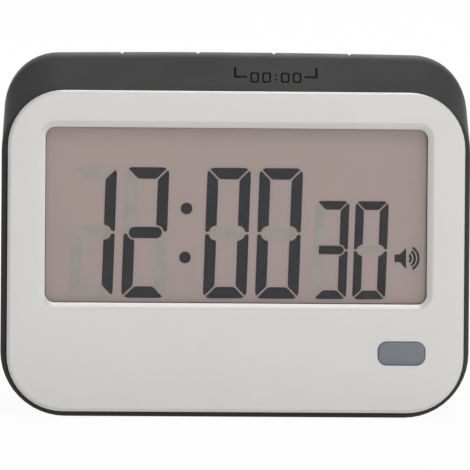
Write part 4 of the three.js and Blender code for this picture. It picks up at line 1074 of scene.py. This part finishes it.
class TIMER_OT_display(Operator):
    """Draws the figures, the colon and the sound sign on the display, with the resting bars behind them"""
    bl_idname = "timer.display"
    bl_label = "Display"

    def execute(self, context):
        colours = context.scene.timer_colours
        large = Figure(*mm(8.58, 25.71), mm(2.2, 2.26), 0.34 * MM, mm(6.5, 2.24), 1.4 * MM)
        small = Figure(*mm(6.55, 19.34), mm(1.7, 1.72), 0.26 * MM, mm(4.9, 1.7), 1.1 * MM)
        base, dot = mm(-9.2, 1.15)
        lit, resting = bmesh.new(), bmesh.new()
        # Each figure: its size, place, lit and resting bars, and if its middle bar is square at the left.
        for figure, x, on, off, square in (
                (large, -32.85, "bc", "adeg", False), (large, -22.56, "abged", "fc", False),
                (large, -6.48, "abcdef", "g", False), (large, 3.79, "abcdef", "g", False),
                (small, 15.21, "abgcd", "fe", True), (small, 22.97, "abcdef", "g", False)):
            absorb(lit, figure.drawn(on, x * MM, base, square))
            absorb(resting, figure.drawn(off, x * MM, base, square))
        for x, z in (mm(-9.8, 8.45), mm(-10.03, -1.19)):
            absorb(lit, drum((0, INK), dot, x, z, 40))
        absorb(lit, self.sound_sign())
        front = face_box("lcd_front_glass")[0].y
        for bm, name, material, ahead in (
                (lit, "figures", clouded_tone("segments_on", colours.segments, shine=0.12), 0.09 * MM),
                (resting, "resting_figures", clouded_tone("segments_off", colours.resting), 0.055 * MM)):
            bmesh.ops.translate(bm, vec=(0, front - ahead, 0), verts=bm.verts)
            place(bm, name, "case", "display_glass", material)
        return {"FINISHED"}

    def sound_sign(self):
        """A loudspeaker seen from the side, with three waves of sound."""
        z, rise, cone_rise = mm(-1.07, 0.76, 2.08)
        back, neck, mouth, centre = mm(31.3, 32.35, 33.58, 33.52)
        sign = block((back, neck), (0, INK), about(z, rise))
        cone = block((neck, mouth), (0, INK), about(z, rise))
        for vert in cone.verts:
            if vert.co.x > (neck + mouth) / 2:
                vert.co.z = z + math.copysign(cone_rise, vert.co.z - z)
        absorb(sign, cone)
        for radius, stroke, degrees in ((0.98, 0.48, 48), (1.77, 0.48, 53), (2.5, 0.46, 58)):
            inner, outer = about(radius, stroke / 2)
            reach = math.radians(degrees)
            wave = bmesh.new()
            face = wave.faces.new([wave.verts.new((r * MM, y, 0)) for r, y in
                                   ((inner, 0), (outer, 0), (outer, INK), (inner, INK))])
            bmesh.ops.rotate(wave, cent=(0, 0, 0), matrix=Matrix.Rotation(reach, 3, "Y"), verts=wave.verts)
            bmesh.ops.spin(wave, geom=[face, *face.edges, *face.verts], cent=(0, 0, 0), axis=(0, 1, 0),
                           angle=-2 * reach, steps=18, use_merge=False)
            bmesh.ops.translate(wave, vec=(centre, 0, z), verts=wave.verts)
            absorb(sign, outward(wave))
        return sign


class TIMER_OT_battery_door(Operator):
    """Models the battery door with its rounded hinge edge, latch tab, tongues and grip lines"""
    bl_idname = "timer.battery_door"
    bl_label = "Battery door"

    def execute(self, context):
        size, at = context.scene.timer_sizes, measures(context)
        low, high = face_box("battery_door")
        leaf = carve(self.leaf(size, at, high.x), self.hinge_form(at, high.x), "INTERSECT")
        leaf = carve(leaf, self.fittings(at, low.z), "UNION")
        half, thick, edge = mm(5, 1.2, 0.2)
        latch = block(about(0, half), (at.back - thick, at.back), (at.leaf_top - MM, high.z), edge)
        leaf = carve(carve(leaf, latch, "UNION"), self.grip_lines(at))
        shade_flat(place(leaf, "door", "battery_door", "housing_plastic",
                         soft_touch("door_soft_touch", context.scene.timer_colours.housing),
                         ["battery_door"]))
        return {"FINISHED"}

    def leaf(self, size, at, half):
        """The flat leaf with its rounded outer edge."""
        edge, first, foot_corner = mm(0.2, 0.06, 0.3)
        return prism([(depth, about(0, half - inset), (at.leaf_low, at.leaf_top - inset), foot_corner,
                       size.door_corner - inset)
                      for depth, inset in ((at.leaf_inside, 0), (at.back - edge, 0),
                                           (at.back - first, first), (at.back, edge))])

    def hinge_form(self, at, half):
        """What the leaf is trimmed to: a round bar along its foot and all above the bar's middle."""
        radius = (at.back - at.leaf_inside) / 2
        centre = at.leaf_low + radius
        bar = bmesh.new()
        turn = Matrix.Translation((0, at.leaf_inside + radius, centre)) @ Matrix.Rotation(QUARTER, 4, "Y")
        bmesh.ops.create_cone(bar, cap_ends=True, segments=32, radius1=radius, radius2=radius,
                              depth=2 * half + 2 * MM, matrix=turn)
        body = block(about(0, half + MM), grown((at.leaf_inside, at.back), MM), (centre, at.leaf_top + MM))
        return carve(outward(bar), body, "UNION")

    def fittings(self, at, low):
        """The rib between the cells and the two tongues at the foot, on the leaf's inside."""
        cells = [middle(face_box(name)).z for name in ("battery_upper", "battery_lower")]
        root = at.leaf_inside + GAP
        rib_half, rib_deep, rib_rise = mm(22.8, 1.6, 0.4)
        bm = block(about(0, rib_half), (at.leaf_inside - rib_deep, root), about(middle(cells), rib_rise))
        half, deep, under, below, above = mm(3, 1.3, 0.45, 0.4, 0.7)
        for side in TONGUE_PLACES:
            absorb(bm, block(about(side, half), (at.leaf_inside - deep, root),
                             (at.bay_low - below, at.bay_low + above)),
                   block(about(side, half), (at.leaf_inside - deep, at.leaf_inside - under),
                         (low, at.bay_low)))
        return bm

    def grip_lines(self, at):
        """Four grooves below the latch, each shorter than the one above it."""
        lines = bmesh.new()
        first, pitch, half, rise, corner, deep = mm(1.6, 1.3, 7, 0.3, 0.29, 0.35)
        for step in range(4):
            z = at.leaf_top - first - pitch * step
            absorb(lines, prism([(depth, about(0, half - step * MM), about(z, rise), corner)
                                 for depth in (at.back - deep, at.back + MM)]))
        return lines


class TIMER_OT_cells(Operator):
    """Turns the two cells with their crimped sleeves, plus caps and flat minus ends"""
    bl_idname = "timer.cells"
    bl_label = "Cells"

    def execute(self, context):
        shade = context.scene.timer_colours.sleeve
        band, blur, rim, end = mm(8, 0.05, 0.5, 0.4)
        for name, way in (("battery_upper", 1), ("battery_lower", -1)):
            low, high = face_box(name)
            spot, radius, reach = middle((low, high)), (high.y - low.y) / 2, high.x - low.x
            shoulder = reach - MM
            bm = turned(self.profile(radius, reach, shoulder), 48)
            bm.transform(Matrix.Translation((spot.x - way * reach / 2, spot.y, spot.z))
                         @ Matrix.Rotation(-way * QUARTER, 4, "Z"))
            outward(bm)
            plus = spot.x + way * (reach / 2 - band)
            sleeve = cell_sleeve(name + "_sleeve", shade, (plus - way * blur, plus + way * blur))
            cell = place(bm, name.replace("battery", "cell"), "case", "cell_sleeve", sleeve, [name], 25)
            cell.data.materials.append(metal(name + "_ends", tone(196, 198, 200)))
            straight = FACE.inverted()
            for face in cell.data.polygons:
                centre = straight @ face.center
                along = way * (centre.x - spot.x) + reach / 2
                inside = math.hypot(centre.y - spot.y, centre.z - spot.z) < radius - rim
                face.material_index = int(inside and (along < end or along > shoulder - end))
        return {"FINISHED"}

    def profile(self, radius, reach, shoulder):
        """Radius and depth from the dished minus end over the crimped sleeve to the plus cap."""
        minus = [mm(*pair) for pair in ((0, 0.12), (3.4, 0.12), (3.6, 0), (4.5, 0), (4.75, 0.2))]
        sleeve = [(radius - 0.1 * MM, 0.35 * MM), (radius, 0.6 * MM)]
        sleeve += [(radius - inset * MM, shoulder - before * MM) for inset, before in
                   ((0, 0.75), (0.1, 0.35), (0.45, 0.1), (0.9, 0.1), (1.1, 0.3))]
        cap = [(2.3 * MM, shoulder - 0.3 * MM), (2.2 * MM, shoulder), (1.9 * MM, shoulder + 0.1 * MM),
               (1.9 * MM, reach - 0.25 * MM), (1.65 * MM, reach), (0, reach)]
        return minus + sleeve + cap


class TIMER_OT_springs(Operator):
    """Winds the two conical battery springs"""
    bl_idname = "timer.springs"
    bl_label = "Springs"

    def execute(self, context):
        steel = metal("spring_steel", tone(190, 192, 194), (0.18, 0.3))
        thick, wide, narrows = mm(0.3, 3.5, 1.1)
        turns, steps = 4, 192
        for name, cell, way in (("spring_upper", "battery_upper", 1), ("spring_lower", "battery_lower", -1)):
            low, high = face_box(name)
            spot = middle(face_box(cell))
            start = (low.x if way > 0 else high.x) + way * thick
            reach = high.x - low.x - 2 * thick
            points = []
            for share in (step / steps for step in range(steps + 1)):
                turn, radius = 2 * math.pi * turns * share, wide - narrows * share
                points.append((start + way * reach * share, spot.y + radius * math.cos(turn),
                               spot.z + radius * math.sin(turn)))
            place(wire(points, thick, name + "_wire"), name + "_coil", "case", "plated_steel", steel, [name],
                  60)
        return {"FINISHED"}


class TIMER_OT_leads(Operator):
    """Lays the battery and buzzer leads from their terminals to the board"""
    bl_idname = "timer.leads"
    bl_label = "Leads"

    def execute(self, context):
        red = clouded_tone("lead_red_sleeve", tone(168, 38, 42)), "red_lead"
        black = clouded_tone("lead_black_sleeve", tone(28, 28, 28)), "black_lead"
        board = face_box("main_board")[1].y + GAP
        tail, ceramic = face_box("contact_plus")[0], face_box("buzzer_ceramic")[0]
        disc, radius = middle(face_box("buzzer_disc")), 0.5 * MM
        # Each route: its node, where it starts, how far it goes across and up, and its finish.
        routes = []
        for node, cell, up, finish in (("battery_lead_plus", "battery_upper", -4, red),
                                       ("battery_lead_minus", "battery_lower", 4, black)):
            start = Vector((tail.x - radius, tail.y + 0.6 * MM, middle(face_box(cell)).z))
            routes.append((node, start, mm(-6, up), finish))
        for node, aside, finish in (("buzzer_lead_a", -2, black), ("buzzer_lead_b", 2, red)):
            start = Vector((disc.x + aside * MM, ceramic.y - 0.15 * MM - radius, disc.z - 4 * MM))
            routes.append((node, start, mm(4, -5), finish))
        steps = 32
        for node, start, (across, up), (material, slot) in routes:
            end = Vector((start.x + across, board, start.z + up))
            halfway = Vector(((start.x + end.x) / 2, start.y, (start.z + end.z) / 2))
            over = Vector((end.x, start.y, end.z))
            points = [start * (1 - t) ** 3 + halfway * 3 * t * (1 - t) ** 2 + over * 3 * t * t * (1 - t)
                      + end * t ** 3 for t in (step / steps for step in range(steps + 1))]
            place(wire(points, radius, node + "_line", 3), node + "_wire", "case", slot, material, [node],
                  60)
        return {"FINISHED"}


class TIMER_OT_magnets(Operator):
    """Turns the two magnets with their broken edges and dished middle"""
    bl_idname = "timer.magnets"
    bl_label = "Magnets"

    def execute(self, context):
        steel = metal("magnet_nickel", tone(186, 188, 190), (0.22, 0.36), (1, 1, 1))
        edge, first, rim, dish_edge, dish = mm(0.3, 0.08, 1.2, 1.4, 0.12)
        for name in MAGNETS:
            low, high = face_box(name)
            spot, radius = middle((low, high)), (high.x - low.x) / 2
            bm = turned([(0, low.y), (radius - edge, low.y), (radius, low.y + edge), (radius, high.y - edge),
                         (radius - first, high.y - first), (radius - edge, high.y), (radius - rim, high.y),
                         (radius - dish_edge, high.y - dish), (0, high.y - dish)], 64)
            bmesh.ops.translate(bm, vec=(spot.x, 0, spot.z), verts=bm.verts)
            place(bm, name + "_disc", "case", "magnet_plate", steel, [name], 25)
        return {"FINISHED"}


class TIMER_OT_volume_slide(Operator):
    """Models the volume slide: a ridged knob on its guard plate and forked arm"""
    bl_idname = "timer.volume_slide"
    bl_label = "Volume slide"

    def execute(self, context):
        low, high = face_box("volume_slider")
        spot = middle((low, high))
        half, rise, tall, guard_depth = mm(2.3, 1.6, 3, 2.95)
        knob = block(about(spot.x, half), (high.y - tall, high.y), about(spot.z, rise), 0.25 * MM, 3)
        groove_half, groove_deep, pitch = mm(0.2, 0.4, 0.95)
        grooves = bmesh.new()
        for step in (-1.5, -0.5, 0.5, 1.5):
            absorb(grooves, block(about(spot.x + step * pitch, groove_half),
                                  (high.y - groove_deep, high.y + MM), about(spot.z, 2 * rise)))
        knob = carve(knob, grooves)
        guard = high.y - guard_depth
        arm = block(about(spot.x, half), (low.y, guard), about(spot.z, rise))
        lever = face_box("slide_switch_lever")
        arm = carve(arm, block(grown((lever[0].x, lever[1].x), GAP), (low.y - MM, lever[1].y + GAP),
                               about(spot.z, 3 * MM)))
        absorb(knob, arm, block((low.x, high.x), (guard - MM, guard), (low.z, high.z), 0.15 * MM))
        place(knob, "slide_knob", "volume_slider", "key_plastic",
              moulded("slide_grey", tone(92, 94, 96), (0.45, 0.58), 0.04), ["volume_slider"])
        return {"FINISHED"}


class TIMER_OT_screws(Operator):
    """Turns the case and board screws and cuts the cross in their heads"""
    bl_idname = "timer.screws"
    bl_label = "Screws"

    def execute(self, context):
        steel = metal("screw_steel", tone(176, 178, 182), (0.2, 0.34), (1, 1, 1))
        head_tall, tip, root, crest, head_wide = mm(1.4, 0.4, 0.72, 0.95, 1.75)
        first_rib, last_rib, pitch, cross_long, cross_half, cross_deep = mm(1.3, 0.6, 0.7, 0.95, 0.2, 0.7)
        for name in CASE_SCREWS + BOARD_SCREWS:
            low, high = face_box(name)
            spot, head = middle((low, high)), high.y - head_tall
            profile = [(0, low.y), (tip, low.y), (crest, low.y + MM)]
            rib = low.y + first_rib
            while rib < head - last_rib:
                profile += [(root, rib), (root, rib + 0.25 * MM), (crest, rib + 0.42 * MM)]
                rib += pitch
            profile += [(crest, head), (head_wide, head), (head_wide, head + 0.5 * MM),
                        (1.6 * MM, head + 0.95 * MM), (1.1 * MM, high.y - 0.1 * MM), (0.5 * MM, high.y),
                        (0, high.y)]
            bm = turned(profile, 28)
            for across, up in ((cross_long, cross_half), (cross_half, cross_long)):
                bm = carve(bm, block(about(0, across), (high.y - cross_deep, high.y + MM), about(0, up)))
            bmesh.ops.translate(bm, vec=(spot.x, 0, spot.z), verts=bm.verts)
            place(bm, name + "_turned", "case", "plated_steel", steel, [name], 30)
        return {"FINISHED"}


class TIMER_OT_inside(Operator):
    """Gives the solids that are kept as they are their finishes"""
    bl_idname = "timer.inside"
    bl_label = "Inside finishes"

    def execute(self, context):
        display = context.scene.timer_colours.display
        white = moulded("holder_white", tone(226, 224, 218))
        switch_black = moulded("switch_black", tone(30, 30, 32), (0.4, 0.55), 0.06)
        steel = metal("contact_steel", tone(188, 190, 192))
        finishes = {
            "lcd_front_glass": display_sheet("display_ground", display),
            "lcd_rear_glass": display_sheet("display_rear", display),
            "lcd_reflector": metal("reflector_film", tone(172, 168, 160), (0.4, 0.55)),
            "lcd_holder": white,
            "zebra_strip": moulded("strip_rubber_pink", tone(122, 92, 92), (0.7, 0.85), 0.08),
            "main_board": board_laminate("board_green"),
            "chip_blob": moulded("resin_black", tone(22, 22, 23), (0.2, 0.35), 0.05),
            "quartz_crystal": metal("crystal_can", tone(200, 200, 198), (0.2, 0.32)),
            "slide_switch": steel,
            "slide_switch_lever": switch_black,
            "contact_link": steel,
            "contact_plus": steel,
            "contact_minus": steel,
            "buzzer_disc": metal("buzzer_brass_disc", tone(206, 168, 86), (0.22, 0.36)),
            "buzzer_ceramic": moulded("buzzer_ceramic_white", tone(217, 213, 203), (0.5, 0.62)),
        }
        for name in (*KEYS, "start"):
            finishes[name + "_switch"] = switch_black
            finishes[name + "_plunger"] = white
        for node, material in finishes.items():
            obj = frame["nodes"][node]
            obj.data.materials.clear()
            obj.data.materials.append(material)
        return {"FINISHED"}


class TIMER_OT_stage(Operator):
    """Sets the pale floor, the soft lights, the white surroundings and the camera"""
    bl_idname = "timer.stage"
    bl_label = "Stage"

    def execute(self, context):
        stage = context.scene.timer_stage
        self.set_camera(context, stage)
        self.set_floor()
        self.set_room(context, stage)
        for name, offset, size, power in (
                ("front_lamp", (0.18, -1.12, 0.17), 1.2, stage.front_light),
                ("top_lamp", (0.1, -0.32, 1.0), 0.36, stage.top_light),
                ("crest_lamp", (0.1, 0.62, 0.83), 0.5, stage.crest_light),
                ("side_lamp", (1.0, -0.45, 0.25), 0.5, stage.side_light)):
            self.add_lamp(name, Vector(offset), size, power)
        context.scene.view_settings.view_transform = "Standard"
        return {"FINISHED"}

    def set_camera(self, context, stage):
        camera = linked("camera", bpy.data.cameras.new("camera"))
        sensor, picture = 36, 470
        camera.data.sensor_width = sensor
        camera.data.lens = stage.lens
        camera.data.clip_start, camera.data.clip_end = 0.05, 20
        height = LEAN + stage.above
        back = Vector((-math.sin(stage.aside) * math.cos(height), -math.cos(stage.aside) * math.cos(height),
                       math.sin(height)))
        look = (-back).to_track_quat("-Z", "Y").to_matrix() @ Matrix.Rotation(stage.roll, 3, "Z")
        # The face's middle lies right of and below the picture's middle, in pixels.
        per_pixel = stage.distance * sensor / stage.lens / picture
        right, below = 1.37, 16.97
        offset = look @ Vector((-right * per_pixel, below * per_pixel, 0))
        place_at = FACE.translation + offset + back * stage.distance
        camera.matrix_world = Matrix.Translation(place_at) @ look.to_4x4()
        context.scene.camera = camera

    def set_floor(self):
        bm = bmesh.new()
        bmesh.ops.create_grid(bm, x_segments=8, y_segments=8, size=4)
        mesh = bpy.data.meshes.new("floor")
        bm.to_mesh(mesh)
        bm.free()
        finish = Finish("floor_white", Roughness=0.9, Specular_IOR_Level=0.1)
        finish.paint(finish.blend(finish.grain(0.2), tone(248, 248, 248), tone(252, 252, 252)))
        glow, mix = finish.add("Emission", Strength=1.0), finish.add("MixShader")
        finish.link(finish.spread(self.seen_rays(finish.tree), 0, 0.95, 0, 1), mix, 0)
        finish.link(finish.shader.outputs[0], mix, 1)
        finish.link(glow.outputs[0], mix, 2)
        finish.link(mix.outputs[0], finish.tree.nodes["Material Output"], "Surface")
        mesh.materials.append(finish.material)
        floor = linked("floor", mesh)

    def set_room(self, context, stage):
        world = bpy.data.worlds.new("room")
        context.scene.world = world
        world.use_nodes = True
        nodes, links = world.node_tree.nodes, world.node_tree.links
        white = (1, 1, 1, 1)
        light = fill(nodes["Background"], {"Color": white, "Strength": stage.room_light})
        seen = fill(nodes.new("ShaderNodeBackground"), {"Color": white, "Strength": 1.0})
        mix = nodes.new("ShaderNodeMixShader")
        links.new(self.seen_rays(world.node_tree), mix.inputs[0])
        links.new(light.outputs[0], mix.inputs[1])
        links.new(seen.outputs[0], mix.inputs[2])
        links.new(mix.outputs[0], nodes["World Output"].inputs["Surface"])

    def seen_rays(self, tree):
        """One for a ray from the camera, off a gloss or through something clear, and nothing for others."""
        path = tree.nodes.new("ShaderNodeLightPath")
        most = path.outputs["Is Camera Ray"]
        for ray in ("Is Glossy Ray", "Is Transmission Ray"):
            either = tree.nodes.new("ShaderNodeMath")
            either.operation = "MAXIMUM"
            tree.links.new(most, either.inputs[0])
            tree.links.new(path.outputs[ray], either.inputs[1])
            most = either.outputs[0]
        return most

    def add_lamp(self, name, away, size, power):
        """A round lamp that stands away from the face's middle and looks at it."""
        lamp = linked(name, bpy.data.lights.new(name, "AREA"))
        lamp.data.shape = "DISK"
        lamp.data.size = size
        lamp.data.energy = power
        look = (-away).to_track_quat("-Z", "Y").to_matrix().to_4x4()
        lamp.matrix_world = Matrix.Translation(FACE.translation + away) @ look


GROUPS = (("timer_sizes", TimerSizes), ("timer_colours", TimerColours), ("timer_stage", TimerStage))
PIECES = (TIMER_OT_housing, TIMER_OT_bezel, TIMER_OT_window, TIMER_OT_crest_keys, TIMER_OT_start_key,
          TIMER_OT_display, TIMER_OT_battery_door, TIMER_OT_cells, TIMER_OT_springs, TIMER_OT_leads,
          TIMER_OT_magnets, TIMER_OT_volume_slide, TIMER_OT_screws, TIMER_OT_inside, TIMER_OT_stage)


class TIMER_PT_panel(Panel):
    """Lists the timer's pieces, sizes and colours"""
    bl_idname = "TIMER_PT_panel"
    bl_label = "Kitchen timer"
    bl_space_type = "VIEW_3D"
    bl_region_type = "UI"
    bl_category = "Timer"

    def draw(self, context):
        column = self.layout.column(align=True)
        for piece in PIECES:
            column.operator(piece.bl_idname)
        for name, group in GROUPS:
            box = self.layout.box()
            for field in group.__annotations__:
                box.prop(getattr(context.scene, name), field)


def register():
    for name, group in GROUPS:
        bpy.utils.register_class(group)
        setattr(bpy.types.Scene, name, PointerProperty(type=group))
    for piece in PIECES:
        bpy.utils.register_class(piece)
    bpy.utils.register_class(TIMER_PT_panel)


def unregister():
    bpy.utils.unregister_class(TIMER_PT_panel)
    for piece in reversed(PIECES):
        bpy.utils.unregister_class(piece)
    for name, group in reversed(GROUPS):
        delattr(bpy.types.Scene, name)
        bpy.utils.unregister_class(group)


def main():
    register()
    bpy.ops.timer.housing()
    bpy.ops.timer.bezel()
    bpy.ops.timer.window()
    bpy.ops.timer.crest_keys()
    bpy.ops.timer.start_key()
    bpy.ops.timer.display()
    bpy.ops.timer.battery_door()
    bpy.ops.timer.cells()
    bpy.ops.timer.springs()
    bpy.ops.timer.leads()
    bpy.ops.timer.magnets()
    bpy.ops.timer.volume_slide()
    bpy.ops.timer.screws()
    bpy.ops.timer.inside()
    bpy.ops.timer.stage()


if __name__ == "__main__":
    main()
